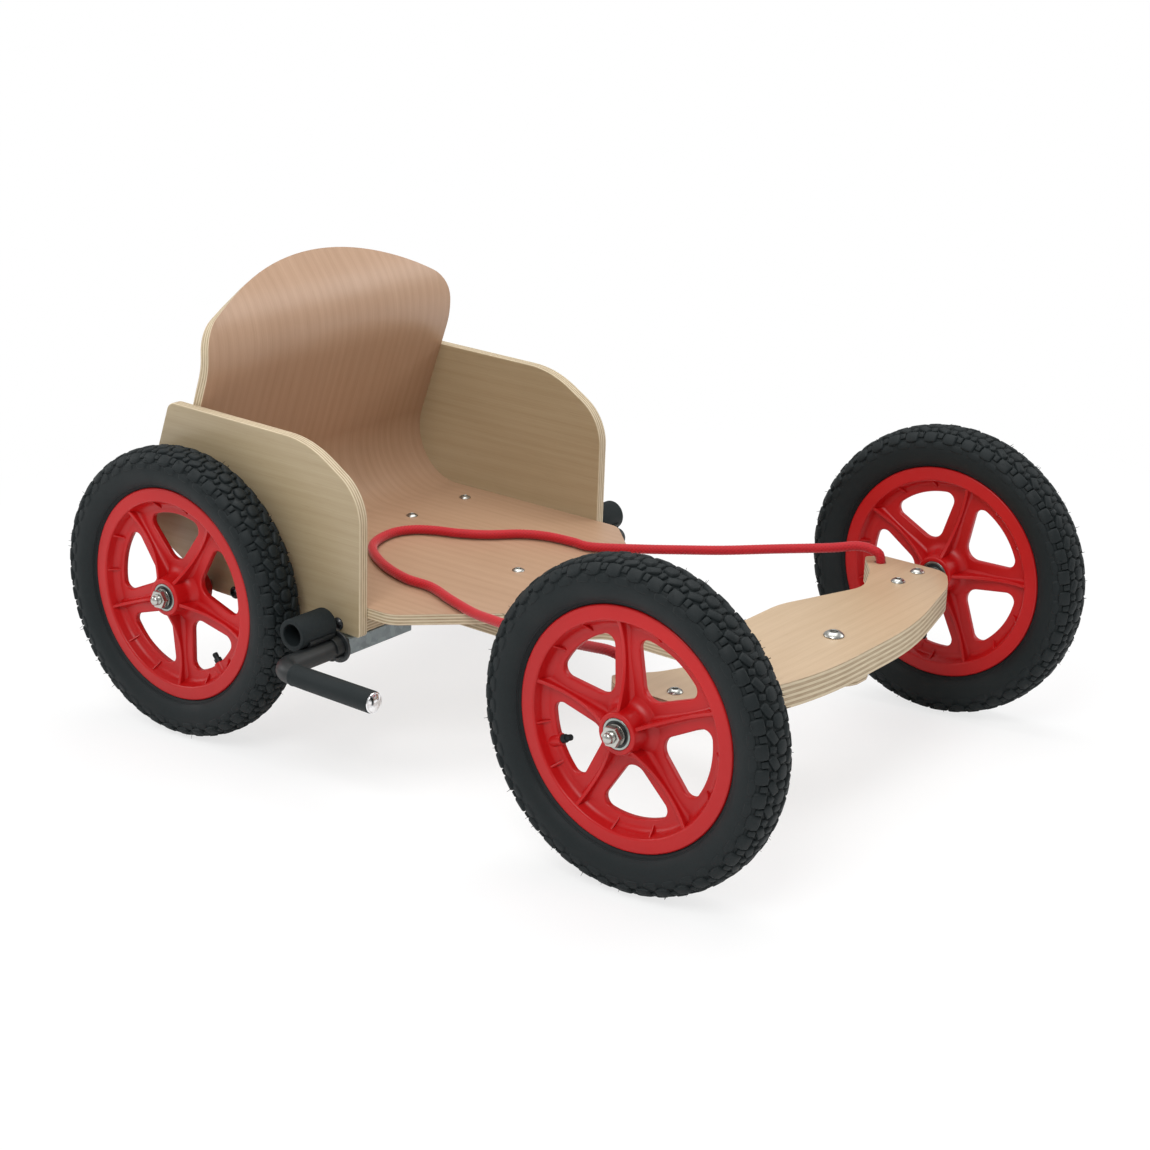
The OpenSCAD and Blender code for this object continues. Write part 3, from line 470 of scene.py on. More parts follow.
def group(name, inputs, outputs):
    """A new shader group with named sockets: its nodes, input node and output node."""
    tree = bpy.data.node_groups.new(name, "ShaderNodeTree")
    kinds = {"value": "NodeSocketFloat", "vector": "NodeSocketVector", "colour": "NodeSocketColor"}
    for label, kind, default in inputs:
        socket = tree.interface.new_socket(label, in_out="INPUT", socket_type=kinds[kind])
        if default is not None:
            socket.default_value = default
    for label, kind in outputs:
        tree.interface.new_socket(label, in_out="OUTPUT", socket_type=kinds[kind])
    n = Nodes(tree)
    return n, n.add("NodeGroupInput").outputs, n.add("NodeGroupOutput").inputs


def material(name, roughness=0.5, metallic=0.0, **constants):
    """A new material: its nodes, its Principled shader and its object coordinates."""
    mat = bpy.data.materials.get(name)
    if mat:
        return mat, None, None, None
    mat = bpy.data.materials.new(name)
    mat.use_nodes = True
    n = Nodes(mat.node_tree)
    shader = mat.node_tree.nodes["Principled BSDF"]
    shader.inputs["Roughness"].default_value = roughness
    shader.inputs["Metallic"].default_value = metallic
    for key, value in constants.items():
        shader.inputs[key.replace("_", " ")].default_value = value
    return mat, n, shader, n.add("ShaderNodeTexCoord").outputs["Object"]


def use_group(n, name, builder, values):
    tree = bpy.data.node_groups.get(name) or builder(name)
    node = n.add("ShaderNodeGroup")
    node.node_tree = tree
    for key, value in values.items():
        n.put(node.inputs[key], value)
    return node.outputs


def wear_group(name):
    """Handling marks: a soft patchy value and fine scratches, for roughness and colour."""
    n, i, o = group(name, [("Vector", "vector", None), ("Scale", "value", 1.0)],
                    [("Patches", "value"), ("Scratches", "value")])
    place = n.add("ShaderNodeVectorMath", {0: i["Vector"]}, operation="SCALE")
    n.put(place.inputs["Scale"], i["Scale"])
    patches = n.noise(place.outputs[0], 14.0, 5.0, 0.6)
    streaks = n.noise(n.scaled(place.outputs[0], (900, 60, 900)), 1.0, 2.0, 0.6, 0.4)
    n.put(o["Patches"], n.ramp(patches, 0.3, 0.7))
    n.put(o["Scratches"], n.ramp(streaks, 0.62, 0.74))
    return n.tree


def wood_group(name):
    """Plywood: face figure, fine pores and the layered cut edge, from (along, across, depth)."""
    n, i, o = group(
        name,
        [("Vector", "vector", None), ("Face", "colour", (0.5, 0.4, 0.3, 1)),
         ("Long ply", "colour", (0.6, 0.5, 0.4, 1)), ("Cross ply", "colour", (0.3, 0.2, 0.1, 1)),
         ("Thickness", "value", 0.011), ("Veneer", "value", 0.0015), ("Figure", "value", 1.0),
         ("Seed", "value", 0.0)],
        [("Colour", "colour"), ("Height", "value"), ("Edge", "value")])
    xyz = n.add("ShaderNodeSeparateXYZ", {0: i["Vector"]}).outputs
    along, across, depth = xyz[0], xyz[1], xyz[2]
    moved = n.add("ShaderNodeCombineXYZ", {0: n.maths("ADD", along, i["Seed"]), 1: across,
                                           2: i["Seed"]}).outputs[0]
    # Long flowing figure: rings of a wide log peeled flat, bent by slow noise
    warp = n.noise(n.scaled(moved, (0.9, 5.0, 1.0)), 1.0, 2.0, 0.5)
    rings = n.maths("MULTIPLY", n.maths("ADD", n.maths("MULTIPLY", across, 9.0),
                                        n.maths("MULTIPLY", warp, 0.9)), 9.0)
    wave = n.maths("ABSOLUTE", n.maths("SUBTRACT", n.maths("FRACT", rings), 0.5))
    figure = n.ramp(wave, 0.0, 0.42)
    cloud = n.noise(n.scaled(moved, (5.0, 16.0, 1.0)), 1.0, 4.0, 0.6)
    fibre = n.noise(n.scaled(moved, (9.0, 700.0, 1.0)), 1.0, 4.0, 0.65)
    pores = n.noise(n.scaled(moved, (60.0, 1500.0, 1.0)), 1.0, 1.0, 0.5)
    pore_mask = n.ramp(pores, 0.66, 0.78)
    shade = n.maths("ADD", n.ramp(cloud, 0.3, 0.7, -0.04, 0.04),
                    n.maths("MULTIPLY", n.ramp(figure, 0, 1, -0.045, 0.02), i["Figure"]))
    shade = n.maths("ADD", shade, n.ramp(fibre, 0.25, 0.75, -0.06, 0.06))
    shade = n.maths("SUBTRACT", shade, n.maths("MULTIPLY", pore_mask, 0.10))
    bright = n.maths("ADD", shade, 1.0)
    tint = n.add("ShaderNodeCombineColor",
                 {0: bright, 1: n.maths("POWER", bright, 1.25),
                  2: n.maths("POWER", bright, 1.6)}).outputs[0]
    face = n.mix(1.0, i["Face"], tint, "MULTIPLY")
    # Cut edge: plies by depth, each with its own shade and a dark glue line
    plies = n.maths("DIVIDE", depth, i["Veneer"])
    odd = n.maths("GREATER_THAN", n.maths("FRACT", n.maths("MULTIPLY", plies, 0.5)), 0.5)
    beside = n.maths("ABSOLUTE", n.maths("SUBTRACT", n.maths("FRACT", plies), 0.5))
    glue = n.ramp(beside, 0.43, 0.48)
    edge_noise = n.noise(n.scaled(i["Vector"], (70, 70, 900)), 1.0, 3.0, 0.6)
    ply_light = n.mix(n.ramp(edge_noise, 0.35, 0.7, 0.0, 0.35), i["Long ply"], i["Cross ply"])
    ply_dark = n.mix(n.ramp(edge_noise, 0.35, 0.7, 0.0, 0.45), i["Cross ply"], i["Long ply"])
    cut = n.mix(n.maths("MULTIPLY", glue, 0.35), n.mix(odd, ply_light, ply_dark),
                rgba((0.16, 0.11, 0.07)))
    inside = n.maths("MINIMUM", depth, n.maths("SUBTRACT", i["Thickness"], depth))
    edge = n.ramp(inside, 0.00022, 0.00055)
    n.put(o["Colour"], n.mix(edge, face, cut))
    n.put(o["Height"], n.maths("SUBTRACT", n.maths("MULTIPLY", fibre, 0.6),
                               n.maths("MULTIPLY", pore_mask, 0.6)))
    n.put(o["Edge"], edge)
    return n.tree


def plywood(name, face, thickness, figure=1.0, seed=0.0, veneer=1.0, roughness=0.42):
    """Lacquered plywood that reads the piece's own ply attribute."""
    mat, n, shader, _ = material(name, roughness, Coat_Roughness=0.28)
    if n is None:
        return mat
    ply = n.add("ShaderNodeAttribute", attribute_name="ply").outputs["Vector"]
    wood = use_group(n, "Plywood", wood_group, {
        "Vector": ply, "Face": rgba(face), "Long ply": rgba(finish().ply_light),
        "Cross ply": rgba(finish().ply_dark), "Thickness": thickness * MM,
        "Veneer": veneer * sizes().veneer * MM, "Figure": figure, "Seed": seed})
    wear = use_group(n, "Handling", wear_group, {"Vector": ply, "Scale": 1.0})
    n.put(shader.inputs["Base Color"], wood["Colour"])
    rough = n.maths("ADD", n.ramp(wood["Edge"], 0, 1, roughness, roughness + 0.22),
                    n.ramp(wear["Patches"], 0, 1, -0.04, 0.05))
    n.put(shader.inputs["Roughness"], rough)
    n.put(shader.inputs["Coat Weight"], n.ramp(wood["Edge"], 0, 1, 0.25, 0.0))
    n.put(shader.inputs["Normal"], n.bump(wood["Height"], 0.0001, 0.3))
    return mat


def red_plastic():
    mat, n, shader, place = material("Red plastic", 0.36, Specular_IOR_Level=0.35)
    if n is None:
        return mat
    wear = use_group(n, "Handling", wear_group, {"Vector": place, "Scale": 1.6})
    flow = n.noise(place, 9.0, 3.0, 0.5)
    base = finish().red
    body = n.mix(n.ramp(flow, 0.3, 0.7), rgba(base, 0.90), rgba(base, 1.06))
    n.put(shader.inputs["Base Color"],
          n.mix(n.maths("MULTIPLY", wear["Scratches"], 0.05), body, rgba((0.85, 0.25, 0.22))))
    n.put(shader.inputs["Roughness"], n.ramp(wear["Patches"], 0, 1, 0.33, 0.43))
    grain = n.noise(place, 1500.0, 2.0, 0.5)
    n.put(shader.inputs["Normal"], n.bump(grain, 0.00005, 0.25))
    return mat


def rubber(name, tone, roughness, grain=700.0, dust=0.25):
    """Moulded rubber: fine skin, dull patches and pale dust in the pores."""
    mat, n, shader, place = material(name, roughness, Specular_IOR_Level=0.3)
    if n is None:
        return mat
    wear = use_group(n, "Handling", wear_group, {"Vector": place, "Scale": 2.0})
    skin = n.noise(place, grain, 4.0, 0.6)
    base = n.mix(n.ramp(skin, 0.35, 0.65), rgba(tone, 0.82), rgba(tone, 1.2))
    dusty = n.mix(n.maths("MULTIPLY", wear["Patches"], dust), base, rgba(tone, 1.7))
    n.put(shader.inputs["Base Color"], dusty)
    n.put(shader.inputs["Roughness"],
          n.ramp(wear["Patches"], 0, 1, roughness - 0.05, roughness + 0.08))
    n.put(shader.inputs["Normal"], n.bump(skin, 0.00018, 0.45))
    return mat


def steel(name, tone, roughness, spangle=0.0, brushed=0.0):
    """Plated steel, with the crystal spangle of hot galvanising or a brushed turn."""
    mat, n, shader, place = material(name, roughness, 1.0)
    if n is None:
        return mat
    wear = use_group(n, "Handling", wear_group, {"Vector": place, "Scale": 3.0})
    shade = n.ramp(wear["Patches"], 0, 1, 0.86, 1.06)
    rough = n.ramp(wear["Patches"], 0, 1, roughness - 0.05, roughness + 0.09)
    if spangle:
        cells = n.add("ShaderNodeTexVoronoi", {"Vector": place, "Scale": 190.0,
                                               "Randomness": 1.0})
        cell = n.add("ShaderNodeSeparateColor", {0: cells.outputs["Color"]}).outputs[0]
        shade = n.maths("MULTIPLY", shade, n.ramp(cell, 0, 1, 1 - spangle, 1 + spangle * 0.4))
        rough = n.maths("ADD", rough, n.ramp(cell, 0, 1, -0.06, 0.08))
    tint = n.add("ShaderNodeCombineColor", {0: shade, 1: shade, 2: shade}).outputs[0]
    n.put(shader.inputs["Base Color"], n.mix(1.0, rgba(tone), tint, "MULTIPLY"))
    n.put(shader.inputs["Roughness"], rough)
    scratches = n.maths("ADD", n.maths("MULTIPLY", wear["Scratches"], 0.5),
                        n.noise(place, 900.0, 2.0, 0.5))
    n.put(shader.inputs["Normal"], n.bump(scratches, 0.00004, 0.3 + brushed))
    return mat


def black_plastic(name="Black plastic", tone=(0.012, 0.014, 0.015), roughness=0.34):
    mat, n, shader, place = material(name, roughness)
    if n is None:
        return mat
    wear = use_group(n, "Handling", wear_group, {"Vector": place, "Scale": 2.5})
    n.put(shader.inputs["Base Color"],
          n.mix(n.maths("MULTIPLY", wear["Patches"], 0.5), rgba(tone), rgba(tone, 2.0)))
    n.put(shader.inputs["Roughness"],
          n.ramp(wear["Patches"], 0, 1, roughness - 0.04, roughness + 0.12))
    n.put(shader.inputs["Normal"], n.bump(n.noise(place, 1200.0, 2.0), 0.00005, 0.3))
    return mat


def pale_plastic():
    mat, n, shader, place = material("Washer plastic", 0.45)
    if n is None:
        return mat
    cloud = n.noise(place, 60.0, 3.0)
    n.put(shader.inputs["Base Color"],
          n.mix(cloud, rgba((0.62, 0.61, 0.56)), rgba((0.74, 0.73, 0.69))))
    n.put(shader.inputs["Roughness"], n.ramp(cloud, 0.3, 0.7, 0.4, 0.55))
    return mat


def braid():
    """Braided rope: painted shade in the grooves between strands from the rope's own braid
    attribute, fibres from its UV map.
    """
    mat, n, shader, place = material("Red braid", 0.62, Sheen_Weight=0.35, Sheen_Roughness=0.4,
                                     Specular_IOR_Level=0.35)
    if n is None:
        return mat
    groove = n.add("ShaderNodeAttribute", attribute_name="braid").outputs["Fac"]
    uv = n.add("ShaderNodeUVMap").outputs["UV"]
    fibre = n.noise(n.scaled(uv, (160.0, 5200.0, 1.0)), 1.0, 3.0, 0.6)
    tone = finish().rope
    lit = n.mix(n.ramp(fibre, 0.3, 0.7), rgba(tone, 0.82), rgba(tone, 1.12))
    # Painted shade: the colour darkens to a third of the rope's tone between the strands, where the
    # braid height is low.
    n.put(shader.inputs["Base Color"], n.mix(n.ramp(groove, 0.0, 0.55), rgba(tone, 0.34), lit))
    n.put(shader.inputs["Roughness"], n.ramp(fibre, 0.3, 0.7, 0.52, 0.72))
    fuzz = n.noise(place, 2600.0, 3.0, 0.6)
    n.put(shader.inputs["Normal"],
          n.bump(n.maths("ADD", fibre, n.maths("MULTIPLY", fuzz, 0.6)), 0.0002, 0.5))
    return mat


def studio_white(name, shade):
    """Floor that keeps a soft shadow under the car and fades to white away from it."""
    mat, n, shader, place = material(name, 0.9, Specular_IOR_Level=0.1)
    if n is None:
        return mat
    grain = n.noise(place, 3.0, 2.0)
    n.put(shader.inputs["Base Color"],
          n.mix(n.ramp(grain, 0.3, 0.7), rgba(shade, 0.995), rgba(shade)))
    glow = n.add("ShaderNodeEmission", {"Color": (1, 1, 1, 1), "Strength": 1.0})
    reach = n.add("ShaderNodeVectorMath", {0: place}, operation="LENGTH").outputs["Value"]
    seen = n.add("ShaderNodeLightPath").outputs["Is Camera Ray"]
    share = n.maths("MULTIPLY", n.ramp(reach, 0.25, 1.3, 0.70, 1.0), seen)
    both = n.add("ShaderNodeMixShader", {0: share, 1: shader.outputs[0], 2: glow.outputs[0]})
    out = next(node for node in mat.node_tree.nodes if node.type == "OUTPUT_MATERIAL")
    n.put(out.inputs["Surface"], both.outputs[0])
    return mat


# Camera and stage

# Place, lens and turn of the camera that took the photograph, found from the car's own points
CAMERA_PLACE = (1.3627, -1.7293, 0.8495)
CAMERA_LENS = 71.91
CAMERA_TURN = math.radians(37.69)
CAMERA_DOWN = math.radians(17.38)
CAMERA_ROLL = math.radians(-0.89)


class SOAPBOX_OT_camera(bpy.types.Operator):
    """Place the camera at the photograph's viewpoint"""
    bl_idname = "soapbox.camera"
    bl_label = "Camera"

    def execute(self, context):
        data = bpy.data.cameras.new("Camera")
        data.sensor_width = 36
        data.lens = CAMERA_LENS
        data.clip_start, data.clip_end = 0.05, 60
        camera = bpy.data.objects.new("Camera", data)
        context.scene.collection.objects.link(camera)
        a, e = CAMERA_TURN, CAMERA_DOWN
        right = Vector((math.cos(a), math.sin(a), 0))
        ahead = Vector((-math.sin(a) * math.cos(e), math.cos(a) * math.cos(e), -math.sin(e)))
        up = right.cross(ahead)
        c, s = math.cos(CAMERA_ROLL), math.sin(CAMERA_ROLL)
        x_axis, y_axis = c * right + s * up, -s * right + c * up
        turn = Matrix((x_axis, y_axis, -ahead)).transposed().to_4x4()
        camera.matrix_world = Matrix.Translation(CAMERA_PLACE) @ turn
        context.scene.camera = camera
        return {"FINISHED"}


def soft_box(name, place, aim, size, watts, shade=(1, 1, 1)):
    data = bpy.data.lights.new(name, "AREA")
    data.shape = "RECTANGLE"
    data.size, data.size_y = size
    data.energy = watts
    data.color = shade
    lamp = bpy.data.objects.new(name, data)
    lamp.location = place
    lamp.rotation_euler = (Vector(aim) - Vector(place)).to_track_quat("-Z", "Y").to_euler()
    bpy.context.scene.collection.objects.link(lamp)


class SOAPBOX_OT_stage(bpy.types.Operator):
    """Lay the pale floor and backdrop and hang the soft lamps"""
    bl_idname = "soapbox.stage"
    bl_label = "Stage and lamps"

    def execute(self, context):
        bm = bmesh.new()
        bmesh.ops.create_grid(bm, x_segments=1, y_segments=1, size=30)
        mesh = bpy.data.meshes.new("floor")
        bm.to_mesh(mesh)
        bm.free()
        mesh.materials.append(studio_white("Studio floor", finish().floor))
        floor = bpy.data.objects.new("floor", mesh)
        context.scene.collection.objects.link(floor)
        world = bpy.data.worlds.new("Studio")
        world.use_nodes = True
        n = Nodes(world.node_tree)
        background = world.node_tree.nodes["Background"]
        background.inputs["Color"].default_value = (1, 1, 1, 1)
        path = n.add("ShaderNodeLightPath").outputs
        n.put(background.inputs["Strength"], n.ramp(path["Is Camera Ray"], 0, 1, 0.5, 1.0))
        context.scene.world = world
        soft_box("Key lamp", (0.9, -2.3, 2.9), (0, 0, 0.15), (1.6, 1.6), 62)
        soft_box("Fill lamp", (-2.6, -1.2, 1.6), (0, 0, 0.2), (1.8, 1.4), 22)
        soft_box("Top lamp", (-0.2, 0.6, 3.0), (0, 0, 0), (2.6, 2.0), 48)
        soft_box("Back lamp", (1.8, 2.4, 1.7), (0, 0, 0.2), (1.6, 1.2), 20)
        context.scene.view_settings.view_transform = "Standard"
        return {"FINISHED"}


# Rope

# Route of the rope in the chassis frame, from the left horn over the pan to the right horn
ROPE_LIE = 28.3
HORN_U, HORN_Y, HORN_LOW, HORN_TOP = 545.857, 211.0, 24.2, 49.2
ROPE_ROUTE = [
    (HORN_U, HORN_Y, HORN_LOW - 0.6), (HORN_U, HORN_Y, HORN_TOP + 4), (538, 208, 61),
    (523, 203, 63), (498, 192, 58), (448, 172, 50), (398, 151, 42), (358, 135, 37),
    (317, 118, 32.5), (268, 98, ROPE_LIE), (243, 97, ROPE_LIE), (212, 93, ROPE_LIE),
    (187, 80, ROPE_LIE), (163, 54, ROPE_LIE), (138, 37, ROPE_LIE), (114, 27, ROPE_LIE),
    (95, 13, ROPE_LIE), (86, -10, ROPE_LIE), (92, -42, ROPE_LIE), (110, -67, ROPE_LIE),
    (148, -92, ROPE_LIE), (190, -107, ROPE_LIE), (225, -109, ROPE_LIE), (264, -124, ROPE_LIE),
    (304, -138, 29), (340, -151, 34), (385, -167, 41), (430, -183, 49), (490, -203, 63),
    (519, -210, 68), (538, -211, 64), (HORN_U, -HORN_Y, HORN_TOP + 4),
    (HORN_U, -HORN_Y, HORN_LOW - 0.6)]


def braid_height(turn, run, strands, lay):
    """Height, 0 to 1, of a diamond braid at a share of a turn and a run along the rope."""
    a = strands * turn + run / lay
    b = strands * turn - run / lay
    over = (math.floor(a) + math.floor(b)) % 2
    fa, fb = a - math.floor(a), b - math.floor(b)
    width, length = (fb, fa) if over else (fa, fb)
    return math.sqrt(max(math.sin(math.pi * width), 0)) * (0.45 + 0.55 * math.sin(math.pi * length))


def rope_mesh(name, line, diameter, sides, place):
    """A braided tube along a line in millimetres, with its UV map and braid attribute."""
    strands, relief = sizes().rope_strands, 0.055 * diameter
    lay = diameter * 0.40
    curve = bpy.data.curves.new(name, "CURVE")
    curve.dimensions = "3D"
    curve.twist_mode = "MINIMUM"
    curve.bevel_depth = diameter / 2
    curve.bevel_resolution = (sides - 4) // 2
    spline = curve.splines.new("POLY")
    spline.points.add(len(line) - 1)
    for point, p in zip(spline.points, line):
        point.co = (*p, 1)
    holder = bpy.data.objects.new(name, curve)
    mesh = bpy.data.meshes.new_from_object(holder)
    bpy.data.objects.remove(holder)
    bm = bmesh.new()
    bm.from_mesh(mesh)
    bm.verts.ensure_lookup_table()
    height = bm.verts.layers.float.new("braid")
    uv = bm.loops.layers.uv.get("UVMap") or bm.loops.layers.uv.new("UVMap")
    run, spots = 0.0, {}
    for i, p in enumerate(line):
        if i:
            run += (Vector(p) - Vector(line[i - 1])).length
        for j in range(sides):
            v = bm.verts[i * sides + j]
            spots[v.index] = (j / sides, run)
            h = braid_height(j / sides, run, strands, lay)
            v[height] = h
            v.co += (v.co - Vector(p)).normalized() * relief * (h - 1.0)
    for f in bm.faces:
        turns = [spots[l.vert.index][0] for l in f.loops if l.vert.index in spots]
        for l in f.loops:
            if l.vert.index in spots:
                t, r = spots[l.vert.index]
                if max(turns) - min(turns) > 0.5 and t < 0.5:
                    t += 1
                l[uv].uv = (r * MM, t * math.pi * diameter * MM)
    bmesh.ops.contextual_create(bm, geom=[e for e in bm.edges if len(e.link_faces) == 1
                                          and e.verts[0].index < sides])
    bmesh.ops.contextual_create(bm, geom=[e for e in bm.edges if len(e.link_faces) == 1])
    bmesh.ops.recalc_face_normals(bm, faces=bm.faces[:])
    bm.transform(place)
    for f in bm.faces:
        f.smooth = True
    bm.to_mesh(mesh)
    bm.free()
    mesh.name = name
    mesh.materials.clear()
    mesh.materials.append(braid())
    obj = bpy.data.objects.new(name, mesh)
    bpy.context.scene.collection.objects.link(obj)
    return obj


# An overhand knot pulled tight under each horn: a short rising stub, one loop and a tail
KNOT_LINE = [(0, 0, 0.5), (0.5, 0, -2.5), (4.2, 1.2, -4.4), (5.0, 4.6, -6.8), (0.4, 6.2, -8.6),
             (-4.6, 3.4, -8.4), (-5.2, -2.6, -6.2), (-1.2, -5.6, -7.4), (3.6, -4.4, -10.2),
             (4.8, 0.6, -12.4), (1.2, 2.4, -15.0), (0.2, 1.0, -18.0)]


class SOAPBOX_OT_rope(bpy.types.Operator):
    """Braid the steering rope and tie its two stopper knots"""
    bl_idname = "soapbox.rope"
    bl_label = "Steering rope"

    def execute(self, context):
        diameter = sizes().rope_diameter
        route = smooth_curve(ROPE_ROUTE, 12)
        line, length = even_steps(route, 1700)
        rope = rope_mesh("steering_rope", line, diameter, 40, CHASSIS)
        for side, sign in SIDES.items():
            spot = Vector((HORN_U, sign * HORN_Y, HORN_LOW - 0.4))
            turn = Matrix.Rotation(math.radians(-60 * sign), 3, "Z")
            tied, _ = even_steps(smooth_curve([spot + turn @ Vector(p) for p in KNOT_LINE], 8), 90)
            knot = rope_mesh("rope_knot_" + side, tied, diameter * 0.86, 24, CHASSIS)
            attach(knot, "steering")
        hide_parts("rope_knots")
        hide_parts("rope")
        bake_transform(rope)
        return {"FINISHED"}


# Plywood

SEAT_HALF, PAN_LOW, BOARD_THICK, DECK_LOW = 184.0, 12.0, 25.0, -6.0
PAN_TOP = PAN_LOW + 11.0
PIVOT_U, TONGUE_HALF, DIAGONAL, DECK_END = 619.857, 34.0, 422.0, 595.857
BACK_TOP, BACK_TOP_R, BACK_CORNER_R = 309.0, 350.0, 38.0
BEND, BEND_R = Vector((12.0, PAN_TOP + 58.0)), 58.0
LUMBAR, LUMBAR_R, LUMBAR_END = Vector((-93.5, 232.0)), 90.0, 38.0
BLOCK_BACK, BLOCK_FRONT, BLOCK_THICK = -18.0, 72.0, 24.0
CROSS_BACK, CROSS_FRONT, DECK_HALF = 164.0, 201.0, 101.0
PANEL_FRONT, PANEL_THICK = 209.5, 12.0


def seat_line():
    """The seat's upper face in section, from the tip of the tongue to the top of the back."""
    across = LUMBAR - BEND
    lean = math.degrees(math.atan2(across.y, across.x)
                        - math.asin((BEND_R + LUMBAR_R) / across.length))
    end = math.radians(LUMBAR_END)
    shoulder = LUMBAR + LUMBAR_R * Vector((math.cos(end), math.sin(end)))
    away = Vector((-math.sin(end), math.cos(end)))
    top = shoulder + away * (BACK_TOP + 6 - shoulder.y) / away.y
    line = [Vector((PIVOT_U + TONGUE_HALF, PAN_TOP))]
    line += [Vector(p) for p in arc(BEND, BEND_R, 270, lean + 90, 1.5)]
    line += [Vector(p) for p in arc(LUMBAR, LUMBAR_R, lean - 90, LUMBAR_END, 1.5)]
    return line + [top]


def unroll(line):
    """Function from a point of the section to its run along the line and depth behind it."""
    a = np.array([tuple(p) for p in line[:-1]])
    b = np.array([tuple(p) for p in line[1:]])
    step = b - a
    size = np.linalg.norm(step, axis=1)
    run = np.concatenate([[0], np.cumsum(size)])[:-1]
    head = step / size[:, None]

    def place(u, v):
        offset = np.array((u, v)) - a
        t = np.clip((offset * head).sum(1), 0, size)
        gap = offset - head * t[:, None]
        k = int(np.argmin((gap * gap).sum(1)))
        # The line runs back and up, so its left-hand side is behind the seat
        depth = head[k][1] * gap[k][0] * -1 + head[k][0] * gap[k][1]
        return float(run[k] + t[k]), float(depth)

    return place


def back_corner():
    """Centre of the round at a top corner of the back, and the height of the wide arc's centre."""
    centre_v = BACK_TOP - BACK_TOP_R
    corner_y = SEAT_HALF - BACK_CORNER_R
    corner_v = centre_v + math.sqrt((BACK_TOP_R - BACK_CORNER_R) ** 2 - corner_y ** 2)
    return corner_y, corner_v, centre_v


def pan_half_width(u):
    """Half width of the pan: full, then cut at 45 degrees down to the tongue and its round tip."""
    outline = rounded([(-400, SEAT_HALF, 0), (DIAGONAL - SEAT_HALF, SEAT_HALF, 25),
                       (DIAGONAL - TONGUE_HALF, TONGUE_HALF, 22), (PIVOT_U, TONGUE_HALF, 0)], 3)
    if u >= PIVOT_U:
        return math.sqrt(max(TONGUE_HALF ** 2 - (u - PIVOT_U) ** 2, 0))
    for (u0, y0), (u1, y1) in zip(outline, outline[1:]):
        if u0 <= u <= u1:
            return y0 + (y1 - y0) * (u - u0) / max(u1 - u0, 1e-9)
    return SEAT_HALF


def build_seat():
    """Bends one sheet of ply: a grid laid on the section line, thickened and sanded round."""
    line = seat_line()
    corner_y, corner_v, centre_v = back_corner()
    meet = math.degrees(math.acos(corner_y / (BACK_TOP_R - BACK_CORNER_R)))
    edge_top = arc((0, centre_v), BACK_TOP_R, 90, meet, 2.0)
    edge_top += arc((corner_y, corner_v), BACK_CORNER_R, meet, 0, 9.0)[1:]
    stations = [(-y, v) for y, v in reversed(edge_top[1:])] + list(edge_top)
    columns = len(stations) - 1
    rest = line[1:]
    # Rows: the tip of the tongue, the pan, then the two bends up to the split height
    tip = [PIVOT_U + TONGUE_HALF * math.sin(math.radians(a)) for a in (76, 62, 46, 30, 15, 0)]
    pan = [PIVOT_U - 30 - i * 15 for i in range(12)]
    knee = [u for u, _ in rounded([(400, TONGUE_HALF, 0), (DIAGONAL - TONGUE_HALF, TONGUE_HALF, 22),
                                   (DIAGONAL - SEAT_HALF, SEAT_HALF, 25), (100, SEAT_HALF, 0)], 5)]
    spread = [DIAGONAL - TONGUE_HALF - 20 - i * 12 for i in range(10)]
    us = sorted(set(round(u, 2) for u in tip + pan + knee + spread + [210, 180, 150, 120, 90, 60, 35]
                    if u > BEND.x + 4), reverse=True)
    rows = [Vector((u, PAN_TOP)) for u in us]
    low_v = 170.0
    lower = [p for p in rest if p.y < low_v]
    rows += lower
    upper = [p for p in rest if p.y >= low_v]
    grid = []
    for p in rows:
        half = pan_half_width(p.x) if p.y < PAN_TOP + 1 else SEAT_HALF
        grid.append([(p.x, y / SEAT_HALF * half, p.y) for y, _ in stations])
    cuts = 26
    top_line = [lower[-1]] + upper
    heights = [p.y for p in top_line]

    def on_back(v):
        k = max(i for i in range(len(heights) - 1) if heights[i] <= v + 1e-6)
        t = (v - heights[k]) / (heights[k + 1] - heights[k])
        return top_line[k].x + (top_line[k + 1].x - top_line[k].x) * t

    for j in range(1, cuts + 1):
        row = []
        for y, v_top in stations:
            v = heights[0] + (v_top - heights[0]) * j / cuts
            row.append((on_back(v), y, v))
        grid.append(row)
    bm = bmesh.new()
    made = bmesh.ops.create_grid(bm, x_segments=columns, y_segments=len(grid) - 1, size=1)
    ordered = sorted(made["verts"], key=lambda q: (round(q.co.y, 6), round(q.co.x, 6)))
    for v, p in zip(ordered, [p for row in grid for p in row]):
        v.co = p
    place = unroll(line)
    thick = sizes().pan_thickness
    grown = bmesh.ops.extrude_face_region(bm, geom=bm.faces[:])
    for v in verts_of(grown):
        u, y, w = v.co
        # Behind the face, square to the section
        if w < PAN_TOP + 0.01:
            normal = Vector((0, -1))
        elif (Vector((u, w)) - BEND).length < BEND_R + 0.6 and w < BEND.y + 40 and u > LUMBAR.x + 40:
            normal = (Vector((u, w)) - BEND).normalized()
        elif w < LUMBAR.y + LUMBAR_R * math.sin(math.radians(LUMBAR_END)):
            normal = (LUMBAR - Vector((u, w))).normalized()
        else:
            end = math.radians(LUMBAR_END)
            normal = Vector((-math.cos(end), -math.sin(end)))
        v.co = (u + normal.x * thick, y, w + normal.y * thick)
    bmesh.ops.remove_doubles(bm, verts=bm.verts[:], dist=1e-4)
    bmesh.ops.recalc_face_normals(bm, faces=bm.faces[:])
    rims = [e for e in bm.edges if len(e.link_faces) == 2 and e.calc_face_angle() > 1.1]
    round_edges(bm, rims, sizes().edge_radius, 3)
    return bm, place


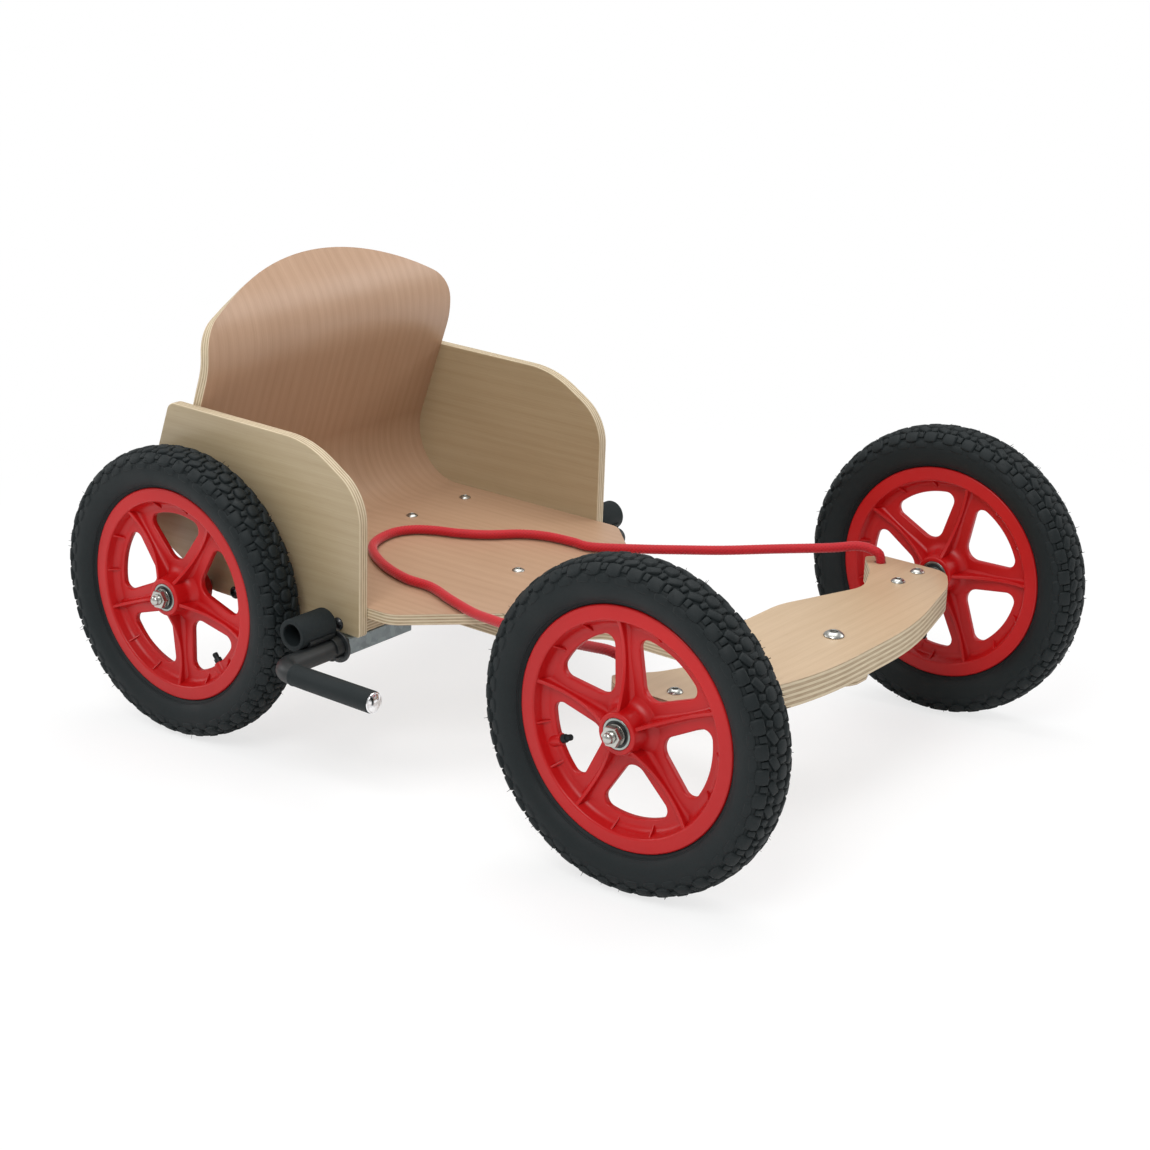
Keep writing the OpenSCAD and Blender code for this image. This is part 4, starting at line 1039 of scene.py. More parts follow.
class SOAPBOX_OT_seat(bpy.types.Operator):
    """Bend the plywood seat"""
    bl_idname = "soapbox.seat"
    bl_label = "Bent seat"

    def execute(self, context):
        bm, place = build_seat()

        def ply(co):
            run, depth = place(co.x, co.z)
            return run, co.y, depth

        mat = plywood("Seat ply", finish().seat, sizes().pan_thickness, figure=1.0, seed=0.31)
        piece("seat", bm, CHASSIS, "chassis", mat, ["seat_shell"], ply=ply)
        return {"FINISHED"}


def board(name, outline, low, high, node, body, slot, mat, grain="x", holes=(), turn=None,
          soft=None):
    """A flat plywood board: outline in x and y, grain along one of them."""
    bm = bmesh.new()
    slab(bm, outline, low, high, soft or sizes().edge_radius, holes)
    if turn is not None:
        bm.transform(turn)
        back = turn.inverted()
    else:
        back = Matrix.Identity(4)

    def ply(co):
        p = back @ co
        return (p.x, p.y, p.z - low) if grain == "x" else (p.y, p.x, p.z - low)

    return piece(name, bm, CHASSIS, body, mat, [node], ply=ply)


def circle(x, y, radius, count=32):
    return [(x + radius * math.cos(2 * math.pi * i / count),
             y + radius * math.sin(2 * math.pi * i / count)) for i in range(count)]


class SOAPBOX_OT_boards(bpy.types.Operator):
    """Cut the side panels, deck, axle block and steering board from plywood"""
    bl_idname = "soapbox.boards"
    bl_label = "Plywood boards"

    def execute(self, context):
        tones = finish()
        # The panels are drawn in x = u and y = v, then stood up along the chassis
        panel = rounded([(-50, 181, 12), (140, 179, 110), (PANEL_FRONT, 137, 55),
                         (PANEL_FRONT, DECK_LOW, 4), (10, DECK_LOW, 12), (-78, 40, 45),
                         (-74, 110, 120)], 3)
        for k, (side, sign) in enumerate(SIDES.items()):
            mat = plywood("Panel ply " + side, tones.panel, PANEL_THICK, 0.9, 2.7 + k)
            low = SEAT_HALF if sign > 0 else -SEAT_HALF - PANEL_THICK
            board("side_panel_" + side + "_ply", panel, low, low + PANEL_THICK,
                  "side_panel_" + side, "chassis", "panel_ply", mat, "x", turn=ALONG_Y)
        deck_ply = plywood("Deck ply", tones.board, PAN_LOW - DECK_LOW, 0.8, 5.1)
        deck = rounded(mirrored([
            (BLOCK_FRONT, DECK_HALF, 0), (CROSS_BACK, DECK_HALF, 6), (CROSS_BACK, SEAT_HALF, 0),
            (CROSS_FRONT, SEAT_HALF, 0), (CROSS_FRONT, DECK_HALF, 6),
            (DIAGONAL - DECK_HALF, DECK_HALF, 20), (DIAGONAL - TONGUE_HALF, TONGUE_HALF, 22),
            (DECK_END, TONGUE_HALF, 14)]))
        board("deck", deck, DECK_LOW, PAN_LOW - 0.02, "chassis_deck", "chassis", "board_ply",
              deck_ply, soft=1.0)
        block_ply = plywood("Block ply", tones.board, BLOCK_THICK, 0.8, 7.3, 1.7)
        block = [(BLOCK_BACK, SEAT_HALF - 0.05), (BLOCK_FRONT - 0.05, SEAT_HALF - 0.05),
                 (BLOCK_FRONT - 0.05, -SEAT_HALF + 0.05), (BLOCK_BACK, -SEAT_HALF + 0.05)]
        board("axle_block", block, -BLOCK_THICK / 2, PAN_LOW - 0.02, "rear_axle_block", "chassis",
              "board_ply", block_ply, "y", soft=1.6)
        steer_ply = plywood("Steering ply", tones.board, BOARD_THICK, 0.7, 9.2, 1.7)
        tip = 231.0
        outline = rounded(mirrored([
            (PIVOT_U - 83.3, 36, 90), (PIVOT_U - 48, tip - 95.4, 40), (PIVOT_U - 68, tip - 50, 60),
            (PIVOT_U - 95, tip - 15, 6), (PIVOT_U - 82, tip, 10), (PIVOT_U - 9, tip, 26),
            (PIVOT_U + 13, tip - 37, 80), (PIVOT_U + 42.5, 78, 380)]), 2.5)
        holes = [circle(HORN_U, sign * HORN_Y, 6) for sign in (1, -1)]
        board("foot_board", outline, HORN_LOW, HORN_TOP, "steering_board", "steering",
              "board_ply", steer_ply, "y", holes=holes)
        return {"FINISHED"}


# Wheels

FLANGE_R, RIM_HALF, BEAD_R = 110.0, 15.3, 101.5
WINDOW_R, WEB_HALF, HUB_R, HUB_BORE, HUB_HALF = 82.0, 3.5, 19.0, 14.15, 24.6
SPOKE_PHASE = {"front_left": 71.0, "front_right": 165.0, "rear_left": 12.0, "rear_right": 270.0}


def rib_crest(r):
    low_r = WINDOW_R - 16
    return 8.0 + (HUB_HALF - 3 - 8.0) * ((low_r - r) / (low_r - HUB_R)) ** 2


def window(turn):
    """Outline of a window centred on x: round tip, rounded outer corners, outer side on an arc."""
    half_turn = math.pi / sizes().spokes
    spoke = Vector((math.cos(half_turn), math.sin(half_turn)))
    inward = Vector((math.sin(half_turn), -math.cos(half_turn)))
    # The spoke is 31 mm wide near the hub and 25 mm near the barrel
    near, far = spoke * 28 + inward * 15.5, spoke * 76 + inward * 12.4
    slope = (far - near) / (far.x - near.x)
    tip = near - slope * (near.y / slope.y)
    reach = far + (far - near) * ((WINDOW_R - far.length) / (far - near).length * 1.02)
    corner = reach.normalized() * (WINDOW_R + 1.2)
    edge = math.degrees(math.atan2(corner.y, corner.x))
    side = [(WINDOW_R * math.cos(math.radians(a)), WINDOW_R * math.sin(math.radians(a)), 0)
            for a in np.linspace(edge - 9.5, 9.5 - edge, 13)]
    points = [(tip.x, 0, 13), (corner.x, corner.y, 8.5)] + side + [(corner.x, -corner.y, 8.5)]
    outline = rounded(points, 9)
    c, s = math.cos(turn), math.sin(turn)
    return [(c * x - s * y, s * x + c * y) for x, y in outline]


def build_rim():
    """One moulded rim: barrel with flanges, webbed disc with windows, ribs, hub and gussets."""
    count = sizes().spokes
    turn = 2 * math.pi / count
    bm = bmesh.new()
    flange = rounded(mirrored([
        (86.0, 3.3, 0), (86.4, 3.42, 0), *[(x, y, 0) for x, y in arc((87, 10.5), 7, 270, 340, 14)],
        (96.0, RIM_HALF, 2.4), (FLANGE_R, RIM_HALF - 0.5, 1.9), (FLANGE_R - 0.3, 12.1, 0.7),
        (102.4, 12.0, 0.6), (BEAD_R, 10.8, 0), (BEAD_R, 8.2, 0), (98.2, 3.6, 2.0)]), 22)
    lathe(bm, flange, 120, closed=True)
    hub = mirrored([
        (HUB_BORE, HUB_HALF - 0.6), (HUB_BORE + 0.6, HUB_HALF), (HUB_R - 1.8, HUB_HALF),
        (HUB_R - 0.8, HUB_HALF - 0.3), (HUB_R - 0.1, HUB_HALF - 1.2), (HUB_R + 0.4, HUB_HALF - 5),
        (HUB_R + 1.2, 15.0), *arc((HUB_R + 11.5, 13.6), 10.2, 186, 268, 12),
        (HUB_R + 13.0, 3.3)])
    lathe(bm, hub, 96, closed=True)
    disc = bmesh.new()
    windows = [window((i + 0.5) * turn) for i in range(count)]
    slab(disc, circle(0, 0, 89.5, 120), -WEB_HALF, WEB_HALF, 0, [circle(0, 0, 20.5, 48), *windows])
    rims = [e for e in disc.edges
            if len(e.link_faces) == 2 and abs(e.verts[0].co.z - e.verts[1].co.z) < 1e-6
            and e.calc_face_angle() > 0.5
            and 24 < Vector((e.verts[0].co.x, e.verts[0].co.y)).length < 86]
    round_edges(disc, rims, 1.9, 4)
    join(bm, disc)
    # Ribs: a thin crest on each face of every spoke, flowing into the web at its foot
    stations = [14.5, 18, 21, 25, 30, 36, 43, 50, 57, 64, 71, 78, 84, 89, 93, 96.5]
    for i in range(count):
        sections = []
        for r in stations:
            top = min(rib_crest(r), HUB_HALF - 1.6)
            foot = min(5.0, (top - WEB_HALF) * 0.62)
            side = [(1.05, top), (1.5, top - 0.35), (1.7, top - 1.0)]
            side += [(1.75 + foot - foot * math.cos(math.radians(a)),
                      WEB_HALF - 0.12 + foot - foot * math.sin(math.radians(a)))
                     for a in (8, 26, 44, 62, 78, 90)]
            ring = side + [(1.9 + foot, 2.6)]
            loop = [(r, y, z) for y, z in ring] + [(r, -y, z) for y, z in reversed(ring)]
            sections.append(loop)
        for flip in (1, -1):
            matrix = Matrix.Rotation(i * turn, 4, "Z") @ Matrix.Diagonal((1, 1, flip, 1))
            loft(bm, sections, matrix)
        for share in (0.33, 0.67):
            fin = bmesh.new()
            shape = [(85.5, 2.8), (96.2, 2.8), (96.4, 13.2), (94.4, 12.6), (88.6, 5.6)]
            slab(fin, shape, -0.9, 0.9, 0.45, segments=2)
            fin.transform(Matrix.Rotation(math.pi / 2, 4, "X"))
            for flip in (1, -1):
                copy = fin.copy()
                join(bm, copy, Matrix.Rotation((i + share) * turn, 4, "Z")
                     @ Matrix.Diagonal((1, 1, flip, 1)))
            fin.free()
    boss = [(0, 81.0), (4.9, 81.0), (5.5, 81.5), (6.0, 84), (6.6, 95.0), (0, 95.0)]
    lathe(bm, boss, 32, Matrix.Rotation(turn / 2, 4, "Z") @ ALONG_X)
    return bm


CARCASS = [(101.9, 11.8), (104.0, 12.0), (108.6, 12.2), (111.4, 14.6), (114.2, 18.2),
           (118.5, 21.4), (124.0, 23.4), (130.0, 23.9), (135.5, 22.9), (139.8, 20.6),
           (142.8, 17.4), (144.9, 13.4), (146.3, 8.5), (146.9, 4.0), (147.1, 0.0)]


CROWN_R, TYRE_R = CARCASS[-1][0], 150.0


def build_tyre(seed):
    """A block tyre: carcass, three kinds of block laid on its curved face, and moulding hairs."""
    rng = random.Random(seed)
    bm = bmesh.new()
    half = [tuple(p) for p in smooth_curve([(r, z, 0) for r, z in CARCASS], 3)]
    half = [(r, z) for r, z, _ in half]
    outer = half + [(r, -z) for r, z in reversed(half[:-1])]
    inner = [(r, -z) for r, z in [(101.9, 9.4), (112, 11), (120, 20), (130, 21), (140, 17),
                                  (144, 8), (144.4, 0)]]
    inner += [(r, -z) for r, z in reversed(inner[:-1])]
    lathe(bm, outer + inner, 144, closed=True)
    for z_ring, r_ring in ((15.9, 112.3), (17.2, 113.4)):
        for sign in (1, -1):
            lathe(bm, [(r_ring + 0.5 * x, sign * (z_ring + 0.5 * y))
                       for x, y in circle(0, 0, 1, 6)], 120, closed=True)
    # Run along the section from the middle of the crown, with its outward normal
    side = list(reversed(half))
    run = [0.0]
    for a, b in zip(side, side[1:]):
        run.append(run[-1] + math.dist(a, b))

    def surface(turn_mm, across, height):
        """Point on the tyre: mm round the crown, mm along the section, mm above the carcass."""
        sign, b = (1 if across >= 0 else -1), abs(across)
        k = max(i for i in range(len(run) - 1) if run[i] <= b)
        t = (b - run[k]) / (run[k + 1] - run[k])
        r = side[k][0] + (side[k + 1][0] - side[k][0]) * t
        z = side[k][1] + (side[k + 1][1] - side[k][1]) * t
        dr, dz = side[k + 1][0] - side[k][0], side[k + 1][1] - side[k][1]
        size = math.hypot(dr, dz)
        nr, nz = dz / size, -dr / size
        angle = turn_mm / CROWN_R
        r, z = r + nr * height, z + nz * height
        return Vector((r * math.cos(angle), r * math.sin(angle), sign * z))

    cross = [-1.0, -0.93, -0.74, 0.0, 0.74, 0.93, 1.0]
    rise = [-0.35, 0.80, 1.0, 1.0, 1.0, 0.80, -0.35]

    def block(target, at, across, wide, deep, tall, turn=0.0, pinch=0.45, dish=0.0):
        patch = bmesh.new()
        bmesh.ops.create_grid(patch, x_segments=6, y_segments=6, size=1)
        c, s = math.cos(turn), math.sin(turn)
        for v in patch.verts:
            i, j = round((v.co.x + 1) * 3), round((v.co.y + 1) * 3)
            x, y = cross[i], cross[j]
            px = x * math.sqrt(1 - pinch * y * y / 2) * wide / 2
            py = y * math.sqrt(1 - pinch * x * x / 2) * deep / 2
            h = min(rise[i], rise[j]) * tall - dish * (1 - max(abs(x), abs(y)))
            # Walls lean out towards the foot
            lean = 1 + 0.10 * (1 - h / tall)
            px, py = px * lean, py * lean
            v.co = surface(at + c * px - s * py, across + s * px + c * py, h)
        bmesh.ops.contextual_create(patch, geom=[e for e in patch.edges if e.is_boundary])
        bmesh.ops.recalc_face_normals(patch, faces=patch.faces[:])
        join(target, patch)

    # One pitch of the pattern, then repeated round the tyre
    rows = sizes().tread_rows
    step = 2 * math.pi * CROWN_R / rows
    pitch = bmesh.new()
    block(pitch, 0.0, 0.0, 12.6, 11.6, 3.0, 0, 0.9, 0.35)
    block(pitch, step / 2, 0.0, 5.2, 9.4, 2.5, 0, 0.3)
    for sign in (1, -1):
        block(pitch, step * 0.5, sign * 10.2, 13.0, 7.2, 3.0, sign * 0.5, 0.35)
        block(pitch, step * 0.02, sign * 10.8, 5.4, 6.6, 2.5, -sign * 0.3, 0.35)
        block(pitch, 0.0, sign * 20.6, 14.6, 11.0, 2.9, 0, 0.5)
        block(pitch, step * 0.5, sign * 18.4, 6.0, 6.4, 2.3, 0, 0.35)
        block(pitch, step * 0.5, sign * 28.2, 15.6, 7.4, 0.9, 0, 0.7)
    bmesh.ops.spin(pitch, geom=pitch.verts[:] + pitch.edges[:] + pitch.faces[:],
                   cent=(0, 0, 0), axis=(0, 0, 1), angle=2 * math.pi * (rows - 1) / rows,
                   steps=rows - 1, use_duplicate=True)
    join(bm, pitch)
    hairs = bmesh.new()
    for _ in range(sizes().vent_hairs):
        sign = rng.choice((1, -1))
        at = rng.uniform(0, rows * step)
        across = sign * rng.uniform(12, 26)
        long = rng.uniform(2.0, 4.8)
        foot = surface(at, across, 2.2)
        out = (surface(at, across, 4.0) - foot).normalized()
        out = (out + Vector([rng.uniform(-0.45, 0.45) for _ in range(3)])).normalized()
        tip = foot + out * long
        if math.hypot(tip.x, tip.y) > TYRE_R:
            long *= 0.4
        aim = out.to_track_quat("Z", "Y").to_matrix().to_4x4()
        matrix = Matrix.Translation(foot + out * long / 2) @ aim
        bmesh.ops.create_cone(hairs, cap_ends=True, segments=4, radius1=0.34, radius2=0.14,
                              depth=long, matrix=matrix)
    join(bm, hairs)
    return bm


def build_tube():
    """Inner tube with its rubber valve stem and ribbed cap, on the x axis."""
    bm = bmesh.new()
    ring = [(126 + 17 * math.cos(math.radians(a)), 17.5 * math.sin(math.radians(a)))
            for a in range(0, 360, 15)]
    lathe(bm, ring, 96, closed=True)
    stem = [(0, 70.6), (1.9, 70.6), (2.5, 71.0), (2.6, 76.4), (3.6, 76.6), (3.9, 77.4),
            (4.0, 110.0), (0, 110.0)]
    lathe(bm, stem, 32, ALONG_X)
    for i in range(10):
        rib = bmesh.new()
        bmesh.ops.create_cube(rib, size=1)
        rib.transform(Matrix.Rotation(i * math.pi / 5, 4, "X")
                      @ Matrix.Translation((73.6, 0, 2.6)) @ Matrix.Diagonal((4.4, 0.6, 0.5, 1)))
        join(bm, rib)
    return bm


def build_bearings():
    """Two sealed bearings with a dark shield set back between their races, and the sleeve."""
    races, shields = bmesh.new(), bmesh.new()
    for end in (1, -1):
        z = HUB_HALF
        outer = rounded([(14, z, 0.5), (14, z - 8, 0.5), (11.9, z - 8, 0), (11.9, z, 0.35)], 30)
        inner = rounded([(8.4, z - 0.1, 0.3), (8.4, z - 8, 0), (6.05, z - 8, 0),
                         (6.05, z - 0.1, 0.3)], 30)
        seal = [(8.3, z - 1.5), (8.9, z - 1.1), (11.2, z - 1.1), (11.95, z - 0.8), (11.95, z - 2),
                (8.3, z - 2.2)]
        for target, profile in ((races, outer), (races, inner), (shields, seal)):
            lathe(target, [(r, end * h) for r, h in profile], 72, closed=True)
    lathe(races, [(6.1, HUB_HALF - 8), (8, HUB_HALF - 8), (8, 8 - HUB_HALF), (6.1, 8 - HUB_HALF)],
          48, closed=True)
    return races, shields


class SOAPBOX_OT_wheels(bpy.types.Operator):
    """Mould the rims and tyres and fit their bearings and inner tubes"""
    bl_idname = "soapbox.wheels"
    bl_label = "Wheels"

    def execute(self, context):
        rim, tube = build_rim(), build_tube()
        turn = math.pi / sizes().spokes
        red = red_plastic()
        tyre_rubber = rubber("Tyre rubber", finish().tyre, 0.62)
        black = rubber("Valve rubber", finish().rubber, 0.5)
        race = steel("Bearing steel", (0.36, 0.40, 0.38), 0.32)
        shield = black_plastic("Bearing shield", (0.02, 0.022, 0.022), 0.42)
        for k, wheel in enumerate(WHEELS):
            place, body = wheel_place(wheel), "wheel_" + wheel
            spun = place @ Matrix.Rotation(math.radians(SPOKE_PHASE[wheel]), 4, "Z")
            valve = spun @ Matrix.Rotation(turn, 4, "Z")
            piece("rim_" + wheel + "_moulded", rim.copy(), spun, body, red,
                  ["rim_" + wheel], sharp=40)
            piece("tyre_" + wheel + "_block", build_tyre(11 + k),
                  place @ Matrix.Rotation(0.7 * k, 4, "Z"), body, tyre_rubber,
                  ["tyre_" + wheel], sharp=50, weighted=False)
            piece("tube_" + wheel, tube.copy(), valve, body, black,
                  ["inner_tube_" + wheel], weighted=False)
            races, shields = build_bearings()
            piece("bearing_races_" + wheel, races, place, body, race,
                  ["hub_bearings_" + wheel])
            piece("bearing_shields_" + wheel, shields, place, body, shield)
        rim.free()
        tube.free()
        return {"FINISHED"}


# Brakes

RAIL_SIDE, RAIL_WALL, RAIL_IN, RAIL_OUT = 18.0, 1.5, 110.0, 201.0
PLUG_OUT, DISC_OUT, DISC_R, SHAFT_R = 206.0, 209.0, 16.0, 4.0
LEVER_IN, LEVER_Y, ELBOW_R, LEVER_R, ARM_OUT = 209.3, 288.0, 16.0, 10.0, 250.0
SHOE_AT, SHOE_R, SHOE_BORE, SHOE_IN, SHOE_LEN = (-14.5, 21.2), 16.0, 11.0, 210.0, 46.0
GRIP_R, HANDLE_LEN = 10.75, 119.0


def square(side, corner):
    half = side / 2
    return rounded([(half, half, corner), (-half, half, corner), (-half, -half, corner),
                    (half, -half, corner)], 15)


def build_rail():
    bm = bmesh.new()
    slab(bm, square(RAIL_SIDE, 1.7), RAIL_IN, RAIL_OUT, 0.25,
         [square(RAIL_SIDE - 2 * RAIL_WALL, 0.6)], 2)
    bm.transform(ALONG_Y)
    bmesh.ops.reverse_faces(bm, faces=bm.faces[:])
    return bm


def build_plug():
    bm = bmesh.new()
    slab(bm, square(RAIL_SIDE - 0.1, 1.6), RAIL_OUT + 0.05, PLUG_OUT, 0.9,
         [circle(0, 0, SHAFT_R + 0.1)])
    slab(bm, square(RAIL_SIDE - 2 * RAIL_WALL - 0.3, 0.6), RAIL_OUT - 20, RAIL_OUT + 0.1, 0.2,
         [circle(0, 0, SHAFT_R + 0.1)])
    bm.transform(ALONG_Y)
    bmesh.ops.reverse_faces(bm, faces=bm.faces[:])
    return bm


def build_disc():
    bm = bmesh.new()
    profile = rounded([(SHAFT_R + 0.1, PLUG_OUT + 0.05, 0), (DISC_R, PLUG_OUT + 0.05, 0.8),
                       (DISC_R, DISC_OUT, 0.8), (SHAFT_R + 0.1, DISC_OUT, 0)], 30)
    lathe(bm, profile, 72, ALONG_Y, closed=True)
    return bm


def add_carrier(bm):
    """Slotted collar on the shaft and the saddle that holds the shoe."""
    collar = bmesh.new()
    c_shape = arc((0, 0), LEVER_R + 2, -8, 328) + arc((0, 0), LEVER_R - 0.3, 328, -8)
    slab(collar, c_shape, LEVER_IN, LEVER_IN + 10, 0.5, segments=2)
    join(bm, collar, ALONG_Y)
    saddle = bmesh.new()
    inner = arc(SHOE_AT, SHOE_R + 0.1, -138, -17)
    outer = arc(SHOE_AT, SHOE_R + 2.4, -17, -138)
    slab(saddle, inner + outer, SHOE_IN + 4, SHOE_IN + SHOE_LEN - 8, 0.5, segments=2)
    join(bm, saddle, ALONG_Y)
    web = bmesh.new()
    foot = [(-LEVER_R + 0.8, 1.5), (LEVER_R - 1.6, 1.5), (3.2, 9.2), (-3.0, 6.6), (-10.0, 4.6),
            (-18.0, 4.8)]
    slab(web, foot, SHOE_IN + 6, SHOE_IN + SHOE_LEN - 10, 0.6, segments=2)
    join(bm, web, ALONG_Y)


def build_lever():
    """Tube along the shaft, elbow and handle in one bend, with the carrier of the right shoe."""
    bm = bmesh.new()
    line = [(0, LEVER_IN, 0), (0, LEVER_Y - ELBOW_R - 4, 0)]
    line += [(x, y, 0) for x, y in arc((ELBOW_R, LEVER_Y - ELBOW_R), ELBOW_R, 180, 90, 7.5)]
    line += [(ELBOW_R + 5, LEVER_Y, 0), (HANDLE_LEN - 1, LEVER_Y, 0)]
    pipe(bm, line, [LEVER_R] * (len(line) - 1) + [LEVER_R - 1.6], 48)
    add_carrier(bm)
    return bm


def build_arm():
    """Short tube that is fixed on the shaft's left end, with the carrier of the left shoe."""
    bm = bmesh.new()
    lathe(bm, [(0, LEVER_IN), (LEVER_R, LEVER_IN), (LEVER_R, ARM_OUT - 0.9),
               (LEVER_R - 0.3, ARM_OUT - 0.3), (LEVER_R - 0.9, ARM_OUT), (0, ARM_OUT)], 48, ALONG_Y)
    add_carrier(bm)
    return bm


def build_shoe():
    bm = bmesh.new()
    wall = rounded([(SHOE_BORE, SHOE_IN, 1.0), (SHOE_R, SHOE_IN, 1.3),
                    (SHOE_R, SHOE_IN + SHOE_LEN, 1.3), (SHOE_BORE, SHOE_IN + SHOE_LEN, 1.0)], 20)
    lathe(bm, wall, 96, Matrix.Translation((SHOE_AT[0], 0, SHOE_AT[1])) @ ALONG_Y, closed=True)
    return bm


def build_grip():
    """Soft sleeve with a rolled lip at the elbow and a faint waist."""
    start = ELBOW_R + 3
    bm = bmesh.new()
    profile = [(LEVER_R - 1.9, start), (GRIP_R - 0.9, start), (GRIP_R - 0.25, start + 0.4),
               (GRIP_R, start + 1.2), (GRIP_R, start + 2.6), (GRIP_R - 0.35, start + 3.4),
               (GRIP_R - 0.35, start + 5), (GRIP_R - 0.15, start + 20), (GRIP_R, HANDLE_LEN - 12),
               (GRIP_R, HANDLE_LEN - 1.2), (GRIP_R - 0.4, HANDLE_LEN - 0.3),
               (GRIP_R - 1.2, HANDLE_LEN), (LEVER_R - 1.9, HANDLE_LEN)]
    lathe(bm, profile, 72, Matrix.Translation((0, LEVER_Y, 0)) @ ALONG_X, closed=True)
    return bm


def build_cap():
    """Pressed chrome cap: a rolled rim round a domed middle."""
    bm = bmesh.new()
    face = HANDLE_LEN
    profile = [(0, face), (9.7, face), (10.1, face + 0.3), (10.15, face + 1.0),
               (9.9, face + 1.6), (9.3, face + 1.9), (8.8, face + 1.75), (8.5, face + 1.7)]
    profile += [(r, face + 1.7 + 2.7 * (1 - (r / 8.4) ** 2)) for r in (8.0, 7, 6, 5, 4, 3, 2, 1, 0)]
    lathe(bm, profile, 72, Matrix.Translation((0, LEVER_Y, 0)) @ ALONG_X)
    return bm


class SOAPBOX_OT_brakes(bpy.types.Operator):
    """Build the brake tubes, plugs, discs, lever, arm, shoes, grip and chrome cap"""
    bl_idname = "soapbox.brakes"
    bl_label = "Brakes"

    def execute(self, context):
        tones = finish()
        galvanised = steel("Galvanised steel", tones.galvanised, 0.42, spangle=0.22)
        coated = black_plastic("Black coated steel", (0.006, 0.0075, 0.008), 0.42)
        plastic = black_plastic()
        shoe_rubber = rubber("Shoe rubber", tones.rubber, 0.7, 500.0, 0.2)
        grip_rubber = rubber("Grip rubber", tones.rubber, 0.62, 1100.0, 0.15)
        chrome = steel("Chrome", (0.80, 0.80, 0.81), 0.09)
        for side in SIDES:
            place = brake_place(side)
            piece("brake_tube_" + side, build_rail(), place, "chassis",
                  galvanised, ["brake_rail_" + side])
            piece("tube_plug_" + side, build_plug(), place, "chassis", plastic,
                  ["rail_plug_" + side])
            piece("disc_" + side, build_disc(), place, "chassis", plastic,
                  ["brake_disc_" + side])
            piece("shoe_" + side, build_shoe(), place, "brake", shoe_rubber,
                  ["brake_shoe_" + side], weighted=False)
        place = brake_place("right")
        piece("lever", build_lever(), place, "brake", coated,
              ["brake_lever"])
        piece("grip", build_grip(), place, "brake", grip_rubber, ["hand_grip"])
        piece("cap", build_cap(), place, "brake", chrome, ["lever_cap"])
        piece("arm", build_arm(), brake_place("left"), "brake", coated,
              ["brake_arm_left"])
        return {"FINISHED"}


# Bolts, nuts and axles

# Places in the chassis frame: along the pan, then across it or square to it
SEAT_BOLT_U, SEAT_BOLT_YS, TONGUE_BOLT_U = 52.0, (-149.04, -60.0, 60.0, 149.04), 248.0
PANEL_BOLTS = ((182, 3), (41, 0))
AXLE_U, LOCK_BOLT_YS = 588.857, (-210.5, -172.0, 172.0, 210.5)
REAR_SPACER, FRONT_SPACER, STUB_LEN = 9.4, 14.4, 81.0
NUT_ACROSS, THREAD_BORE, SMALL_SHANK = 17, 5.1, 3.0


def bolt(bm, x, y, top, head_r, head_h, shank_r, low):
    """A socket bolt in the chassis frame: its dome stands on top and its shank ends at low."""
    hex_socket_head(bm, head_r, head_h, Matrix.Translation((x, y, top)))
    lathe(bm, [(0, low), (shank_r - 0.5, low), (shank_r, low + 0.5), (shank_r, top + 0.1),
               (0, top + 0.1)], 24, Matrix.Translation((x, y, 0)))


def build_seat_bolts():
    bm = bmesh.new()
    for y in SEAT_BOLT_YS:
        bolt(bm, SEAT_BOLT_U, y, PAN_TOP, 6.5, 2.4, SMALL_SHANK, -8)
    bolt(bm, TONGUE_BOLT_U, 0, PAN_TOP, 6.5, 2.4, SMALL_SHANK, -4)
    return bm


def build_panel_bolts():
    bm = bmesh.new()
    for sign in SIDES.values():
        out = Matrix.Diagonal((1, sign, 1, 1)) @ ALONG_Y
        for u, v in PANEL_BOLTS:
            one = bmesh.new()
            bolt(one, 0, 0, SEAT_HALF + PANEL_THICK, 6.5, 4.0, SMALL_SHANK,
                 SEAT_HALF - 28)
            join(bm, one, Matrix.Translation((u, 0, v)) @ out)
    return bm


def build_lock_bolts():
    """The four bolts that hold the front axles in the board, with their nuts below it."""
    bm = bmesh.new()
    for y in LOCK_BOLT_YS:
        bolt(bm, AXLE_U, y, HORN_TOP, 7.2, 3.4, SMALL_SHANK, HORN_LOW - 6)
        hex_nut(bm, 10, 3.9, 2.9, Matrix.Translation((AXLE_U, y, HORN_LOW - 4)))
    return bm


def build_pivot_bolt():
    bm = bmesh.new()
    bolt(bm, PIVOT_U, 0, HORN_TOP + 0.2, 10, 4.5, 5.0, PAN_LOW - 11)
    return bm


def build_pivot_nut():
    bm = bmesh.new()
    spot = Matrix.Translation((PIVOT_U, 0, PAN_LOW))
    hex_nut(bm, NUT_ACROSS, 7.3, THREAD_BORE, spot @ Matrix.Translation((0, 0, -8)))
    flange = rounded([(THREAD_BORE, -2, 0), (11.5, -2, 0.5), (11.5, -0.05, 0.3),
                      (THREAD_BORE, -0.05, 0)], 30)
    lathe(bm, flange, 48, spot, closed=True)
    return bm


def both_ends(axle, draw):
    """One mesh in the car's metres with what draw(bm) makes in both wheel frames of an axle."""
    bm = bmesh.new()
    for side in SIDES:
        part = bmesh.new()
        draw(part)
        join(bm, part, wheel_place(axle + "_" + side))
    return bm


def draw_nut(bm):
    seat = HUB_HALF + 0.2
    washer = rounded([(THREAD_BORE, seat, 0), (9.5, seat, 0.35), (9.5, seat + 1.6, 0.35),
                      (THREAD_BORE, seat + 1.6, 0)], 30)
    lathe(bm, washer, 48, closed=True)
    hex_nut(bm, NUT_ACROSS, 7, THREAD_BORE, Matrix.Translation((0, 0, seat + 1.62)), 0.7)


